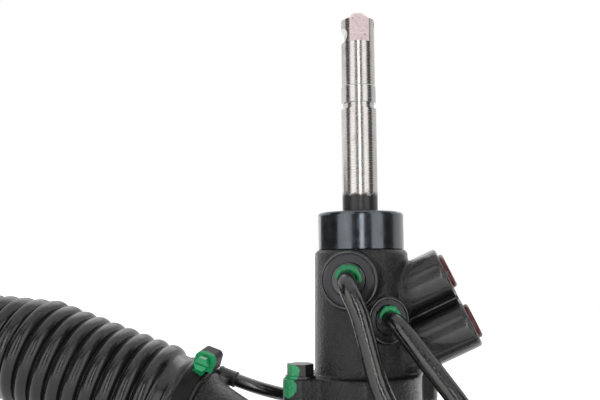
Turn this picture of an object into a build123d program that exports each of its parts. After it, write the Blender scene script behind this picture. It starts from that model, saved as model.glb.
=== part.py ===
"""Power-assisted rack-and-pinion steering gear, modelled in millimetres.

Frame: +X runs along the rack towards the hydraulic cylinder, +Z is up, and -Y is
the side with the transfer pipes.  The pieces are built about the rack axis, with
x = 0 at the foot of its common perpendicular to the pinion axis, and are set down
at the end with the origin in the middle of the left mounting eye.  The pinion axis
leans towards -X in a plane parallel to XZ; the "column frame" has its z along
that axis (w), its x across it towards +X (u) and shares the main frame's y (v).
"""
from build123d import *
import math
import os

# ---------------------------------------------------------------- driving dimensions
# Rack and pinion mesh
pinion_lean = 19.0          # tilt of the pinion axis away from square to the rack, degrees
gear_module = 2.0
pinion_teeth = 8
profile_shift = 0.5
pressure_angle = 20.0
flank_backlash = 0.15       # thinning of each mesh flank
pinion_tip_r = 11.0
pinion_root_r = 6.9
pinion_face = 34.0          # length of the pinion teeth along w
rack_r = 14.0
rack_tooth_plane = 10.0     # height of the tooth tips above the rack axis, along +Y
rack_tooth_depth = 4.3
rack_spaces = 27            # odd, so that a space lies at x = 0
rack_travel = 70.0          # each way from the middle
stop_gap = 1.0              # left between joint and bulkhead at full travel

# Fits between pieces
running_fit = 0.05          # radial gap of shafts and journals
free_gap = 0.3              # gap between curved faces of different bodies
seat_gap = 0.02             # radial gap of bores that hold a fixed piece

# Gear housing and cylinder, lengths along x
left_face_x = -107.0
seat_length = 12.0          # boot seat at each end
mouth_depth = 11.0          # pocket that takes the inner joint at full travel
mouth_bore_r = 22.5
boot_seat_r = 27.0
neck_r = 23.0               # behind the boot seat
neck_length = 5.0           # cone between seat and neck
taper_end_x = -72.0
housing_tube_r = 19.2
rack_bore_r = 15.0
tube_socket_x = 60.0        # where the cylinder tube enters the gear housing
socket_depth = 16.0
tube_outer_r = 20.0
tube_inner_r = 17.5
inner_gland_x = 158.0
gland_length = 14.0
end_bush_x = 338.0
end_bush_length = 20.0
end_bulkhead_x = 366.0
end_wall = 8.0
port_boss_inset = 10.0      # from each end of the pressure chamber

# Valve column, lengths along w
flange_joint_w = 38.0
flange_thick = 17.4
column_top_w = 124.3
cap_height = 20.7
shaft_tip_w = 259.5
column_top_r = 26.2
column_base_r = 26.8
flange_r = 33.0
flange_lobe_r = 9.5
bolt_left_uv = (-30.9, -22.0)
bolt_rear_uv = (30.9, 22.0)
gasket_thick = 0.8
cap_r = 24.2
valve_bore_r = 17.0
sleeve_r = 16.6
pinion_bore_r = 12.5        # clears the pinion tips
boss_r = 25.0
boss_bottom_w = -50.0

# Input shaft
shaft_lower_r = 10.0
shaft_band_r = 9.85
shaft_groove_r = 8.75
shaft_upper_r = 9.525
groove_w = 206.0
groove_width = 3.4
band_step_w = 217.2
notch_below_tip = 12.6
notch_r = 5.2
notch_depth = 2.7
shaft_flat_length = 16.8
shaft_flat_depth = 1.7
shaft_clock = 15.0          # turn of flat and notch about w, degrees from -Y towards +u
shaft_chamfer = 3.2
pin_below_tip = 6.0         # cross pin of the torsion bar
pin_r = 1.6
twist_stop = 4.5            # lost motion between input shaft and pinion, degrees

# Valve ports: drop below the column top, azimuth from -Y towards +u
upper_port_drop = 16.8
upper_port_azimuth = -4.8
upper_port_reach = 32.0
upper_port_r = 15.6
lower_port_drop = 38.1
lower_port_azimuth = 35.9
lower_port_reach = 30.0
lower_port_r = 12.5
hose_port_rise = 25.7       # tilt of the hose ports above square to the column, degrees
hose_port_spacing = 30.0
hose_port_r = 14.2
hose_upper_end = (47.1, -12.8)   # u, and w below the column top, of the upper end face
hose_bore_r = 8.0
hose_bore_depth = 16.0
hose_boss_lengths = (40.0, 56.0)
oil_channel_r = 4.0
oil_channel_length = 30.0
plug_rim_r = 9.8
plug_rim_height = 2.2
plug_depth = 7.0

# Pipes
pipe_r = 5.0
pipe_wall = 1.0
breather_r = 3.8
upper_nut_r = 8.9
lower_nut_r = 7.6

# Rack ends
socket_r = 19.5
socket_length = 38.5
ball_r = 11.0
ball_seat_wall = 2.2
ball_from_shoulder = 27.0
rod_neck_r = 5.5
rod_r = 7.0
rod_length = 235.0          # from ball centre to the threaded end
rod_thread_length = 60.0
jam_nut_offset = 8.0        # of the nut from the thread's inner end
jam_nut_thick = 9.0
witness_width = 1.2         # shallow groove beyond the nut: least screw-in of the outer joint
witness_depth = 0.6
joint_swing = 18.0          # each way, about z and about y, degrees
joint_mouth_spare = 2.5     # degrees left between rod and rim at full swing
stud_r = 8.0
stud_length = 18.0

# Boots
ring_pitch = 9.6
ring_count = 15
ring_r = 33.0
valley_r = 29.6
boot_wall = 2.0
large_cuff_length = 22.5    # plain cuff, from its end at the shoulder to the first ring
cuff_step = 2.0             # from the last ring down to the small cuff
cuff_r = 29.6
small_cuff_r = 9.5
small_cuff_length = 13.0
ring_flat = 2.4             # flat along the crest of a ring
taper_rings = 6

# Gear housing details
yoke_boss_r = 19.0
yoke_boss_reach = 44.0
lug_x = (-50.0, 66.0)
lug_z = -38.0
lug_r = 17.0
lug_width = 26.0
lug_web = 15.0
breather_yz = (20.0, 23.0)          # at the left end
breather_right_yz = (12.0, 32.0)
breather_boss_r = 6.5
breather_boss_length = 6.0
breather_grip = 5.0
rib_root_share = 0.6        # foot of a breather boss's rib, as a share of its distance
spigot_r = 22.0
spigot_length = 6.0
bolt_r = 4.0
bolt_depth = 8.5
bolt_head_flats = 13.0
bolt_head_height = 6.2
washer_r = 8.2
washer_thick = 1.2

# Bearings, seals and plugs of the column
lower_bearing_w = -19.0     # upper face of the pinion's ball bearing
bearing_width = 9.0
bearing_outer_r = 14.0
bearing_inner_r = 6.0
bearing_pitch_r = 10.0
bearing_ball_r = 2.4
bearing_balls = 9
cap_plug_r = 16.5
pinion_journal_r = 11.4
pinion_bush_r = 14.5
pinion_bush_length = 12.0
sleeve_above_flange = 8.0   # sleeve ends, from the flange joint and below the column top
sleeve_below_top = 17.0
sleeve_bore_r = 10.6
sleeve_wall_groove = 1.0
sleeve_ring_width = 2.2
sleeve_ring_share = (0.13, 0.355, 0.645, 0.935)     # along the sleeve
sleeve_port_share = (0.242, 0.5, 0.79)
sleeve_port_r = 1.6
spool_groove_share = (0.29, 0.516, 0.742)
spool_groove_width = 5.0
spool_groove_depth = 1.2
cap_spigot_r = 20.0
cap_spigot_length = 6.0
cap_edge = 2.0              # radius round the top edge of the cap
cap_bore_r = 13.5
needle_length = 12.0
oil_seal_length = 6.0
dust_seal_r = 14.5
dust_seal_depth = 4.0
torsion_bar_r = 3.0
tongue_w = 52.0             # bottom of the shaft tongue in the pinion slot
shaft_bottom_w = 59.0
tongue_r = 8.0
tongue_half = 4.0
nut_depth = 10.0

# Support yoke
yoke_r = 13.0
yoke_back = 30.0
yoke_liner = 1.1
spring_stack = 4.0
yoke_plug_end = 53.0
lock_nut_flats = 34.0
lock_nut_thick = 6.5

# Piston and glands
piston_width = 16.0
piston_ring_width = 4.0
snap_ring_width = 1.6

# Mounts
bush_outer_r = 12.5
sleeve_outer_r = 8.0
sleeve_bore = 5.2
mount_sleeve_length = 30.0
bracket_x = 300.0
bracket_width = 32.0
bracket_rubber_wall = 4.0
bracket_steel = 3.0
bracket_hole_out = 13.0     # of a bolt hole beyond the saddle's leg
bracket_hole_r = 5.5

# Pipes and clamps
near_run_yz = (-41.5, 24.0)
far_run_yz = (-31.0, 37.0)
near_pipe_drop = 15.5       # from the upper valve port down to the pipe's first long bend
far_pipe_drop = 35.7        # the same for the lower port
cylinder_boss_r = 9.5
cylinder_boss_reach = 33.0
clamp_thick = 0.8
clamp_from_end = 6.3        # middle of the band, from the end of the boot
clamp_turn = 10.0           # of the screw from the top towards -Y, degrees
worm_offset = 2.3           # of the worm housing from the band's middle, towards the housing
worm_housing_width = 11.5
clamp_head_length = 4.0
band_gap = 0.1
clamp_width = 8.6
clamp_screw_y = 0.5
clamp_screw_r = 3.2
nut_proud = 1.0             # hexagon of a tube nut above its port
cylinder_nut_depth = 8.0

# ---------------------------------------------------------------- derived values
lean = math.radians(pinion_lean)
pitch_r = pinion_teeth * gear_module / (2 * math.cos(lean))
pinion_y = rack_tooth_plane - gear_module + pitch_r + profile_shift * gear_module
linear_pitch = math.pi * gear_module
column = Pos(0, pinion_y, 0) * Rot(0, -pinion_lean, 0)
cap_top_w = column_top_w + cap_height
right_face_x = end_bulkhead_x + mouth_depth
left_bulkhead_x = left_face_x + mouth_depth
rack_left_x = left_bulkhead_x - rack_travel - stop_gap
rack_right_x = end_bulkhead_x + rack_travel + stop_gap
piston_x = (inner_gland_x + gland_length + end_bush_x) / 2
near_port_x = inner_gland_x + gland_length + port_boss_inset
far_port_x = end_bush_x - port_boss_inset
seat_end_x = left_face_x + seat_length
tube_end_x = end_bulkhead_x - end_wall
small_cuff_x = right_face_x - seat_length + large_cuff_length + ring_count * ring_pitch \
    + (small_cuff_length + cuff_step) / 2
boot_groove_x = small_cuff_x - rack_right_x - ball_from_shoulder
neck_angle = math.degrees(math.asin(rod_neck_r / ball_r))
joint_mouth_angle = neck_angle + math.sqrt(2) * joint_swing + joint_mouth_spare
seat_mouth_angle = neck_angle + joint_swing + joint_mouth_spare
pin_w = shaft_tip_w - pin_below_tip
bracket_rubber_r = tube_outer_r + bracket_rubber_wall
bracket_hole_z = bracket_rubber_r + bracket_steel + bracket_hole_out
sleeve_w = (flange_joint_w + sleeve_above_flange, column_top_w - sleeve_below_top)


def along_sleeve(share):
    """Height on the column at a share of the valve sleeve's length."""
    return sleeve_w[0] + share * (sleeve_w[1] - sleeve_w[0])


def along_x(radius, x0, x1, y=0.0, z=0.0):
    """Cylinder about a line parallel to X, from x0 to x1."""
    return Pos((x0 + x1) / 2, y, z) * Rot(0, 90, 0) * Cylinder(radius, abs(x1 - x0))


def along_w(radius, w0, w1, u=0.0, v=0.0):
    """Cylinder parallel to the pinion axis, from w0 to w1."""
    return column * Pos(u, v, (w0 + w1) / 2) * Cylinder(radius, w1 - w0)


def turned(points):
    """Solid turned about local z from (radius, height) points."""
    outline = Polyline(*[(r, 0, h) for r, h in points], close=True)
    return revolve(make_face(outline), Axis.Z)


def turned_about_x(points):
    """Solid turned about the rack axis from (x, radius) points."""
    outline = Polyline(*[(x, 0, r) for x, r in points], close=True)
    return revolve(make_face(outline), Axis.X)


def hexagon_prism(across_flats, height):
    """Hexagonal prism standing on z = 0."""
    return extrude(RegularPolygon(across_flats / 2, 6, major_radius=False), height)


def port_frame(azimuth, height_w):
    """Column frame turned so that local z points out of the column at an azimuth from -Y."""
    return column * Pos(0, 0, height_w) * Rot(0, 0, azimuth) * Rot(90, 0, 0)


# ---------------------------------------------------------------- gear housing
def lobed_plate(radius, lobes, lobe_radius, w0, w1):
    """Round plate on the pinion axis, drawn out to a rounded lobe at each bolt."""
    outline = Circle(radius)
    for u, v in lobes:
        outline += make_hull(
            (Circle(lobe_radius + 3).edges() + (Pos(u, v) * Circle(lobe_radius)).edges())
        )
    return column * Pos(0, 0, w0) * extrude(outline, w1 - w0)


def housing_outside():
    """Outer form of the gear housing: rack tube, boot end, pinion boss and yoke boss."""
    seat_end = left_face_x + seat_length
    end = tube_socket_x + socket_depth
    tube = turned_about_x([
        (left_face_x, 0), (left_face_x, boot_seat_r - 0.8), (left_face_x + 0.8, boot_seat_r),
        (seat_end, boot_seat_r), (seat_end + neck_length, neck_r), (taper_end_x, housing_tube_r),
        (tube_socket_x - 6, housing_tube_r), (tube_socket_x, tube_outer_r + 5),
        (end - 2, tube_outer_r + 5), (end, tube_outer_r + 3), (end, 0),
    ])
    boss = along_w(boss_r, boss_bottom_w, flange_joint_w - 8)
    top = lobed_plate(flange_r, [bolt_left_uv, bolt_rear_uv], flange_lobe_r,
                      flange_joint_w - 12, flange_joint_w - gasket_thick)
    return tube + boss + top + yoke_cylinder(yoke_boss_r, 0, yoke_boss_reach)


def mounting_lug(x):
    """Eye below the housing that holds a rubber bush, joined by a web to the tube."""
    eye = Pos(x, 0, lug_z) * Rot(90, 0, 0) * Cylinder(lug_r, lug_width)
    web = Pos(x, 0, lug_z / 2) * Box(lug_web, lug_width - 8, -lug_z)
    return eye + web


def breather_boss(x0, x1, place_yz):
    """Boss for an end of the breather pipe, carried on a rib from the body."""
    y, z = place_yz
    root = Pos(y * rib_root_share, z * rib_root_share) * Circle(breather_boss_r)
    outline = make_hull(root.edges() + (Pos(y, z) * Circle(breather_boss_r)).edges())
    return extrude(Plane.YZ.offset(x0) * outline, x1 - x0)


def gear_housing():
    """Cast housing of rack and pinion with its bores, lugs and breather boss."""
    body = housing_outside()
    for x in lug_x:
        body += mounting_lug(x)
    body += breather_boss(seat_end_x, seat_end_x + breather_boss_length, breather_yz)
    body -= along_x(mouth_bore_r, left_face_x, left_bulkhead_x)
    body -= along_x(rack_bore_r, left_bulkhead_x, tube_socket_x)
    body -= along_x(tube_outer_r + seat_gap, tube_socket_x, tube_socket_x + socket_depth)
    body -= along_w(pinion_bore_r, -pinion_face / 2 - 2, flange_joint_w)
    body -= along_w(bearing_outer_r + seat_gap, lower_bearing_w - bearing_width, -pinion_face / 2)
    body -= along_w(cap_plug_r + seat_gap, boss_bottom_w, lower_bearing_w - bearing_width)
    body -= along_w(spigot_r + seat_gap, flange_joint_w - spigot_length - 0.5, flange_joint_w)
    body -= yoke_cylinder(yoke_r + running_fit, 0, yoke_boss_reach)
    for u, v in (bolt_left_uv, bolt_rear_uv):
        body -= along_w(bolt_r + seat_gap, flange_joint_w - bolt_depth - 1, flange_joint_w, u, v)
    for x in lug_x:
        body -= Pos(x, 0, lug_z) * Rot(90, 0, 0) * Cylinder(bush_outer_r + seat_gap, lug_width)
    socket_end = seat_end_x + breather_boss_length
    return body - along_x(breather_r + seat_gap, socket_end - breather_grip, socket_end, *breather_yz)


# ---------------------------------------------------------------- valve column
def hose_ends():
    """Centres (u, w below the column top) of the two hose-port end faces."""
    rise = math.radians(hose_port_rise)
    u, w = hose_upper_end
    return [(u, w), (u + hose_port_spacing * math.sin(rise), w - hose_port_spacing * math.cos(rise))]


def hose_frame(end):
    """Frame at a hose-port end face, local z pointing out of the port."""
    return column * Pos(end[0], 0, column_top_w + end[1]) * Rot(0, 90 - hose_port_rise, 0)


def valve_outside():
    """Outer form of the valve housing: drafted column, flange, port bosses and webs."""
    top_w = column_top_w
    body = column * turned([
        (0, flange_joint_w), (flange_r - 4, flange_joint_w), (column_base_r, flange_joint_w + flange_thick),
        (column_top_r, top_w - 2), (column_top_r - 2, top_w), (0, top_w),
    ])
    body += lobed_plate(flange_r, [bolt_left_uv, bolt_rear_uv], flange_lobe_r,
                        flange_joint_w, flange_joint_w + flange_thick)
    body += port_frame(upper_port_azimuth, top_w - upper_port_drop) * Pos(0, 0, upper_port_reach / 2) \
        * Cylinder(upper_port_r, upper_port_reach)
    body += port_frame(lower_port_azimuth, top_w - lower_port_drop) * Pos(0, 0, lower_port_reach / 2) \
        * Cylinder(lower_port_r, lower_port_reach)
    for end, length in zip(hose_ends(), hose_boss_lengths):
        body += hose_frame(end) * Pos(0, 0, -length / 2) * Cylinder(hose_port_r, length)
    return body


def valve_housing():
    """Cast valve housing, bored for the sleeve, the two pipe ports and the two hose ports."""
    top_w = column_top_w
    body = valve_outside()
    body += along_w(spigot_r, flange_joint_w - spigot_length, flange_joint_w)
    bush_low = flange_joint_w - spigot_length
    bush_top = bush_low + pinion_bush_length
    body -= along_w(valve_bore_r, bush_top, top_w - cap_spigot_length)
    body -= along_w(cap_spigot_r + seat_gap, top_w - cap_spigot_length, top_w)
    body -= along_w(pinion_bush_r + seat_gap, bush_low, bush_top)
    for azimuth, drop, reach, nut_r in (
        (upper_port_azimuth, upper_port_drop, upper_port_reach, upper_nut_r),
        (lower_port_azimuth, lower_port_drop, lower_port_reach, lower_nut_r),
    ):
        frame = port_frame(azimuth, top_w - drop)
        body -= frame * Pos(0, 0, reach - nut_depth / 2) * Cylinder(nut_r + seat_gap, nut_depth)
        body -= frame * Pos(0, 0, reach / 2) * Cylinder(pipe_r - pipe_wall, reach)
    for end in hose_ends():
        frame = hose_frame(end)
        body -= frame * Pos(0, 0, -hose_bore_depth / 2) * Cylinder(hose_bore_r, hose_bore_depth)
        body -= frame * Pos(0, 0, -oil_channel_length / 2) * Cylinder(oil_channel_r, oil_channel_length)
    for u, v in (bolt_left_uv, bolt_rear_uv):
        body -= along_w(bolt_r + seat_gap, flange_joint_w, flange_joint_w + flange_thick, u, v)
    return body


# ---------------------------------------------------------------- pinion and rack
def pinion_section():
    """Transverse tooth section: involute flanks, radial roots, arcs at tip and root."""
    transverse_angle = math.atan(math.tan(math.radians(pressure_angle)) / math.cos(lean))
    base_r = pitch_r * math.cos(transverse_angle)
    tooth = (math.pi / 2 + 2 * profile_shift * math.tan(math.radians(pressure_angle))) \
        * gear_module / math.cos(lean) - 2 * flank_backlash

    def half_angle(radius):
        roll = math.acos(base_r / radius)
        return tooth / (2 * pitch_r) + (math.tan(transverse_angle) - transverse_angle) \
            - (math.tan(roll) - roll)

    def at(radius, angle):
        return (radius * math.cos(angle), radius * math.sin(angle))

    edges = []
    pitch = 2 * math.pi / pinion_teeth
    radii = [base_r + (pinion_tip_r - base_r) * k / 4 for k in range(5)]
    for tooth_no in range(pinion_teeth):
        mid = tooth_no * pitch - math.pi / 2
        rising = [at(r, mid - half_angle(r)) for r in radii]
        falling = [at(r, mid + half_angle(r)) for r in reversed(radii)]
        foot = half_angle(base_r)
        edges += [
            Line(at(pinion_root_r, mid - foot), rising[0]),
            Spline(*rising),
            ThreePointArc(rising[-1], at(pinion_tip_r, mid), falling[0]),
            Spline(*falling),
            Line(falling[-1], at(pinion_root_r, mid + foot)),
            ThreePointArc(at(pinion_root_r, mid + foot), at(pinion_root_r, mid + pitch / 2),
                          at(pinion_root_r, mid + pitch - foot)),
        ]
    return make_face(edges)


def pinion():
    """Helical pinion with its journals, the slot for the shaft tongue and the torsion-bar bore."""
    twist = math.degrees(pinion_face * math.tan(lean) / pitch_r)
    section = Rot(0, 0, -twist / 2) * pinion_section()
    teeth = Solid.extrude_linear_with_rotation(section.face(), (0, 0, 0), (0, 0, pinion_face), twist)
    body = Pos(0, 0, -pinion_face / 2) * teeth
    bearing_low = lower_bearing_w - bearing_width
    sleeve_low = sleeve_w[0]
    body += turned([
        (0, bearing_low - 8), (5.2, bearing_low - 8), (bearing_inner_r - seat_gap, bearing_low - 7),
        (bearing_inner_r - seat_gap, lower_bearing_w), (7.5, lower_bearing_w),
        (7.5, -pinion_face / 2), (0, -pinion_face / 2),
    ])
    body += turned([
        (0, pinion_face / 2), (pinion_root_r, pinion_face / 2), (pinion_journal_r, pinion_face / 2 + 5),
        (pinion_journal_r, sleeve_low - 2), (15.5, sleeve_low - 1.5), (15.5, sleeve_low),
        (sleeve_bore_r - seat_gap, sleeve_low), (sleeve_bore_r - seat_gap, shaft_bottom_w - 1),
        (0, shaft_bottom_w - 1),
    ])
    slot_half = tongue_half + tongue_r * math.sin(math.radians(twist_stop)) + 0.2
    slot_height = shaft_bottom_w - tongue_w + 1
    slot = Pos(0, 0, tongue_w - 1 + slot_height / 2) * (
        Cylinder(tongue_r + 0.3, slot_height) & Box(2 * slot_half, 2 * tongue_r + 1, slot_height))
    body -= slot
    body -= Pos(0, 0, (20 + shaft_bottom_w) / 2) * Cylinder(torsion_bar_r + running_fit, shaft_bottom_w - 20)
    return column * body


def pinion_nut():
    """Nut that clamps the inner race against the pinion shoulder."""
    low = lower_bearing_w - bearing_width
    nut = hexagon_prism(19.0, 6) - Pos(0, 0, 3) * Cylinder(bearing_inner_r, 6)
    return column * Pos(0, 0, low - 6) * nut


def rack_bar():
    """Round bar with straight teeth cut across it, bored for the joints and grooved at the piston."""
    body = along_x(rack_r, rack_left_x, rack_right_x)
    span = rack_spaces * linear_pitch
    flat_height = rack_r - rack_tooth_plane
    body -= Pos(0, rack_tooth_plane + flat_height / 2 + 0.5, 0) * Box(span, flat_height + 1, 2 * rack_r)
    slope = math.tan(math.radians(pressure_angle))
    half_datum = linear_pitch / 4 + flank_backlash / 2
    half_top = half_datum + (gear_module + 1) * slope
    half_root = half_datum - (rack_tooth_depth - gear_module) * slope
    outline = make_face(Polyline(
        (-half_root, rack_tooth_plane - rack_tooth_depth), (half_root, rack_tooth_plane - rack_tooth_depth),
        (half_top, rack_tooth_plane + 1), (-half_top, rack_tooth_plane + 1), close=True))
    space = Pos(0, 0, -rack_r) * extrude(outline, 2 * rack_r)
    spaces = [Pos((k - rack_spaces // 2) * linear_pitch, 0, 0) * space for k in range(rack_spaces)]
    body -= spaces
    for x, inward in ((rack_left_x, 1), (rack_right_x, -1)):
        body -= along_x(stud_r + seat_gap, x, x + inward * (stud_length + 1))
    for side in (-1, 1):
        x = piston_x + side * (piston_width + snap_ring_width) / 2
        body -= along_x(rack_r + 1, x - snap_ring_width / 2, x + snap_ring_width / 2) \
            - along_x(rack_r - 1, x - snap_ring_width / 2, x + snap_ring_width / 2)
    return body


def ring_about_x(inner, outer, x0, x1):
    """Plain ring about the rack axis."""
    return along_x(outer, x0, x1) - along_x(inner, x0 - 1, x1 + 1)


def ring_about_w(inner, outer, w0, w1):
    """Plain ring about the pinion axis."""
    return along_w(outer, w0, w1) - along_w(inner, w0 - 1, w1 + 1)


def piston():
    """Double-acting piston with a groove for its ring."""
    x0, x1 = piston_x - piston_width / 2, piston_x + piston_width / 2
    body = ring_about_x(rack_r + seat_gap, tube_inner_r - 0.3, x0, x1)
    half = piston_ring_width / 2
    return body - ring_about_x(rack_r + 1.5, tube_inner_r + 1, piston_x - half, piston_x + half)


def piston_ring():
    """Sliding ring that seals the piston in the tube."""
    half = piston_ring_width / 2
    return ring_about_x(rack_r + 1.5, tube_inner_r - running_fit, piston_x - half, piston_x + half)


def piston_snap_rings():
    """Two rings that hold the piston on the bar."""
    rings = []
    for side in (-1, 1):
        x = piston_x + side * (piston_width + snap_ring_width) / 2
        rings.append(ring_about_x(rack_r - 1, rack_r + 1.8, x - snap_ring_width / 2, x + snap_ring_width / 2))
    return Compound(children=[r.solid() for r in rings])


# ---------------------------------------------------------------- column internals
def input_shaft():
    """Input shaft: tongue, spool, groove, clamp flat and bolt notch."""
    tip = shaft_tip_w
    body = turned([
        (0, shaft_bottom_w), (shaft_lower_r, shaft_bottom_w), (shaft_lower_r, groove_w - groove_width / 2),
        (shaft_groove_r, groove_w - groove_width / 2), (shaft_groove_r, groove_w + groove_width / 2),
        (shaft_band_r, groove_w + groove_width / 2), (shaft_band_r, band_step_w),
        (shaft_upper_r, band_step_w + 0.6), (shaft_upper_r, tip - shaft_chamfer),
        (shaft_upper_r - shaft_chamfer, tip), (0, tip),
    ])
    for share in spool_groove_share:
        body -= Pos(0, 0, along_sleeve(share)) * (
            Cylinder(shaft_lower_r + 1, spool_groove_width)
            - Cylinder(shaft_lower_r - spool_groove_depth, spool_groove_width))
    tongue_height = shaft_bottom_w - tongue_w
    body += Pos(0, 0, tongue_w + tongue_height / 2) * (
        Cylinder(tongue_r, tongue_height) & Box(2 * tongue_half, 2 * tongue_r, tongue_height))
    bar_top = pin_w + 5
    body -= Pos(0, 0, (tongue_w + bar_top) / 2) * Cylinder(torsion_bar_r + seat_gap, bar_top - tongue_w)
    clock = Rot(0, 0, shaft_clock)
    flat_y = -shaft_upper_r + shaft_flat_depth / 2
    body -= clock * Pos(0, flat_y - 1, tip - shaft_flat_length / 2) \
        * Box(2 * shaft_upper_r, shaft_flat_depth + 2, shaft_flat_length)
    notch_x = -(shaft_upper_r + notch_r - notch_depth)
    body -= clock * Pos(notch_x, 0, tip - notch_below_tip) * Rot(90, 0, 0) \
        * Cylinder(notch_r, 3 * shaft_upper_r)
    body -= Pos(0, 0, pin_w) * Rot(0, 90, 0) * Cylinder(pin_r + seat_gap, 3 * shaft_upper_r)
    return column * body


def torsion_bar():
    """Slim bar on the pinion axis, waisted between its pinned ends."""
    low, high = 24.0, pin_w + 5
    body = turned([
        (0, low), (torsion_bar_r, low), (torsion_bar_r, shaft_bottom_w + 6), (2.2, shaft_bottom_w + 12),
        (2.2, pin_w - 16), (torsion_bar_r, pin_w - 10), (torsion_bar_r, high), (0, high),
    ])
    body -= Pos(0, 0, pin_w) * Rot(0, 90, 0) * Cylinder(pin_r + seat_gap, 3 * shaft_upper_r)
    return column * body


def torsion_pin():
    """Cross pin that ties the torsion bar to the top of the input shaft."""
    return column * Pos(0, 0, pin_w) * Rot(0, 90, 0) * Cylinder(pin_r, 2 * shaft_upper_r - 1.6)


def valve_sleeve():
    """Distributor sleeve on the pinion, with ring grooves and ports."""
    low, high = sleeve_w
    body = turned([
        (sleeve_bore_r, low), (sleeve_r, low), (sleeve_r, high), (sleeve_bore_r, high),
    ])
    for share in sleeve_ring_share:
        body -= Pos(0, 0, along_sleeve(share)) * (
            Cylinder(sleeve_r + 1, sleeve_ring_width)
            - Cylinder(sleeve_r - sleeve_wall_groove, sleeve_ring_width))
    for k, share in enumerate(sleeve_port_share):
        for turn in range(4):
            body -= Pos(0, 0, along_sleeve(share)) * Rot(0, 0, 90 * turn + 30 * k) * Rot(0, 90, 0) \
                * Pos(0, 0, sleeve_r) * Cylinder(sleeve_port_r, 2 * sleeve_r)
    return column * body


def sleeve_rings():
    """Four sealing rings between sleeve and valve bore."""
    half = sleeve_ring_width / 2
    return Compound(children=[
        ring_about_w(sleeve_r - sleeve_wall_groove, valve_bore_r - running_fit, w - half, w + half).solid()
        for w in map(along_sleeve, sleeve_ring_share)])


def pinion_bush():
    """Plain bearing for the pinion journal in the housing spigot."""
    low = flange_joint_w - spigot_length
    return ring_about_w(pinion_journal_r + running_fit, pinion_bush_r, low, low + pinion_bush_length)


def column_cap():
    """Turned steel cap pressed into the top of the valve housing."""
    base = column_top_w
    top = cap_top_w
    edge = [(cap_r - cap_edge + cap_edge * math.cos(a), top - cap_edge + cap_edge * math.sin(a))
            for a in (0, math.pi / 6, math.pi / 3, math.pi / 2)]
    bore_end = base - cap_spigot_length + needle_length + oil_seal_length
    body = turned([
        (cap_bore_r, base - cap_spigot_length), (cap_spigot_r, base - cap_spigot_length),
        (cap_spigot_r, base), (cap_r, base), *edge,
        (dust_seal_r + seat_gap, top), (dust_seal_r + seat_gap, top - dust_seal_depth),
        (shaft_lower_r + 0.6, top - dust_seal_depth), (shaft_lower_r + 0.6, bore_end),
        (cap_bore_r, bore_end),
    ])
    return column * body


def needle_bearing():
    """Drawn-cup needle bearing for the input shaft."""
    low = column_top_w - cap_spigot_length
    return ring_about_w(shaft_lower_r + running_fit, cap_bore_r - seat_gap, low, low + needle_length)


def oil_seal():
    """Lip seal above the needle bearing, with its open side towards the oil."""
    low = column_top_w - cap_spigot_length + needle_length
    ring = ring_about_w(shaft_lower_r + running_fit, cap_bore_r - seat_gap, low, low + oil_seal_length)
    return ring - ring_about_w(shaft_lower_r + 1, cap_bore_r - 1, low - 1, low + oil_seal_length - 2)


def dust_seal():
    """Rubber wiper round the shaft at the top of the cap."""
    low = cap_top_w - dust_seal_depth
    return column * turned([
        (shaft_lower_r + running_fit, low), (dust_seal_r, low), (dust_seal_r, cap_top_w),
        (shaft_lower_r + 1.6, cap_top_w), (shaft_lower_r + running_fit, cap_top_w + 1.2),
    ])


def bearing_outer():
    """Outer race of the pinion's ball bearing."""
    low = lower_bearing_w - bearing_width
    body = turned([
        (bearing_pitch_r + 1.7, low), (bearing_outer_r, low), (bearing_outer_r, lower_bearing_w),
        (bearing_pitch_r + 1.7, lower_bearing_w),
    ])
    return column * (body - race_groove())


def race_groove():
    """Ring-shaped groove that both races share."""
    section = Pos(bearing_pitch_r, 0, lower_bearing_w - bearing_width / 2) * Rot(90, 0, 0) \
        * Circle(bearing_ball_r + running_fit)
    return revolve(section, Axis.Z)


def bearing_inner():
    """Inner race, held on the pinion by its nut."""
    low = lower_bearing_w - bearing_width
    body = turned([
        (bearing_inner_r, low), (bearing_pitch_r - 1.7, low), (bearing_pitch_r - 1.7, lower_bearing_w),
        (bearing_inner_r, lower_bearing_w),
    ])
    return column * (body - race_groove())


def ball_places(radius):
    """One sphere of the given radius at each ball centre."""
    middle = lower_bearing_w - bearing_width / 2
    ball = Pos(bearing_pitch_r, 0, 0) * Sphere(radius)
    return [Pos(0, 0, middle) * Rot(0, 0, 360 * k / bearing_balls) * ball for k in range(bearing_balls)]


def bearing_ball_set():
    """Balls of the pinion's lower bearing."""
    return Compound(children=[(column * ball).solid() for ball in ball_places(bearing_ball_r)])


def bearing_cage():
    """Cage that spaces the balls."""
    middle = lower_bearing_w - bearing_width / 2
    ring = Pos(0, 0, middle) * (Cylinder(bearing_pitch_r + 0.9, 5.6) - Cylinder(bearing_pitch_r - 0.9, 6))
    pocket = Pos(0, 0, middle) * Rot(0, 90, 0) * Pos(0, 0, bearing_pitch_r) \
        * Cylinder(bearing_ball_r + running_fit, 4)
    pockets = [Rot(0, 0, 360 * k / bearing_balls) * pocket for k in range(bearing_balls)]
    return column * (ring - pockets)


def bottom_cap():
    """Screwed cap below the pinion bearing, with a hexagon socket."""
    low = boss_bottom_w
    top = lower_bearing_w - bearing_width
    body = turned([
        (0, low - 4), (22.0, low - 4), (22.0, low), (cap_plug_r, low), (cap_plug_r, top),
        (12.5, top), (12.5, top - 12), (0, top - 12),
    ])
    return column * (body - Pos(0, 0, low - 4) * hexagon_prism(14, 6))


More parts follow.
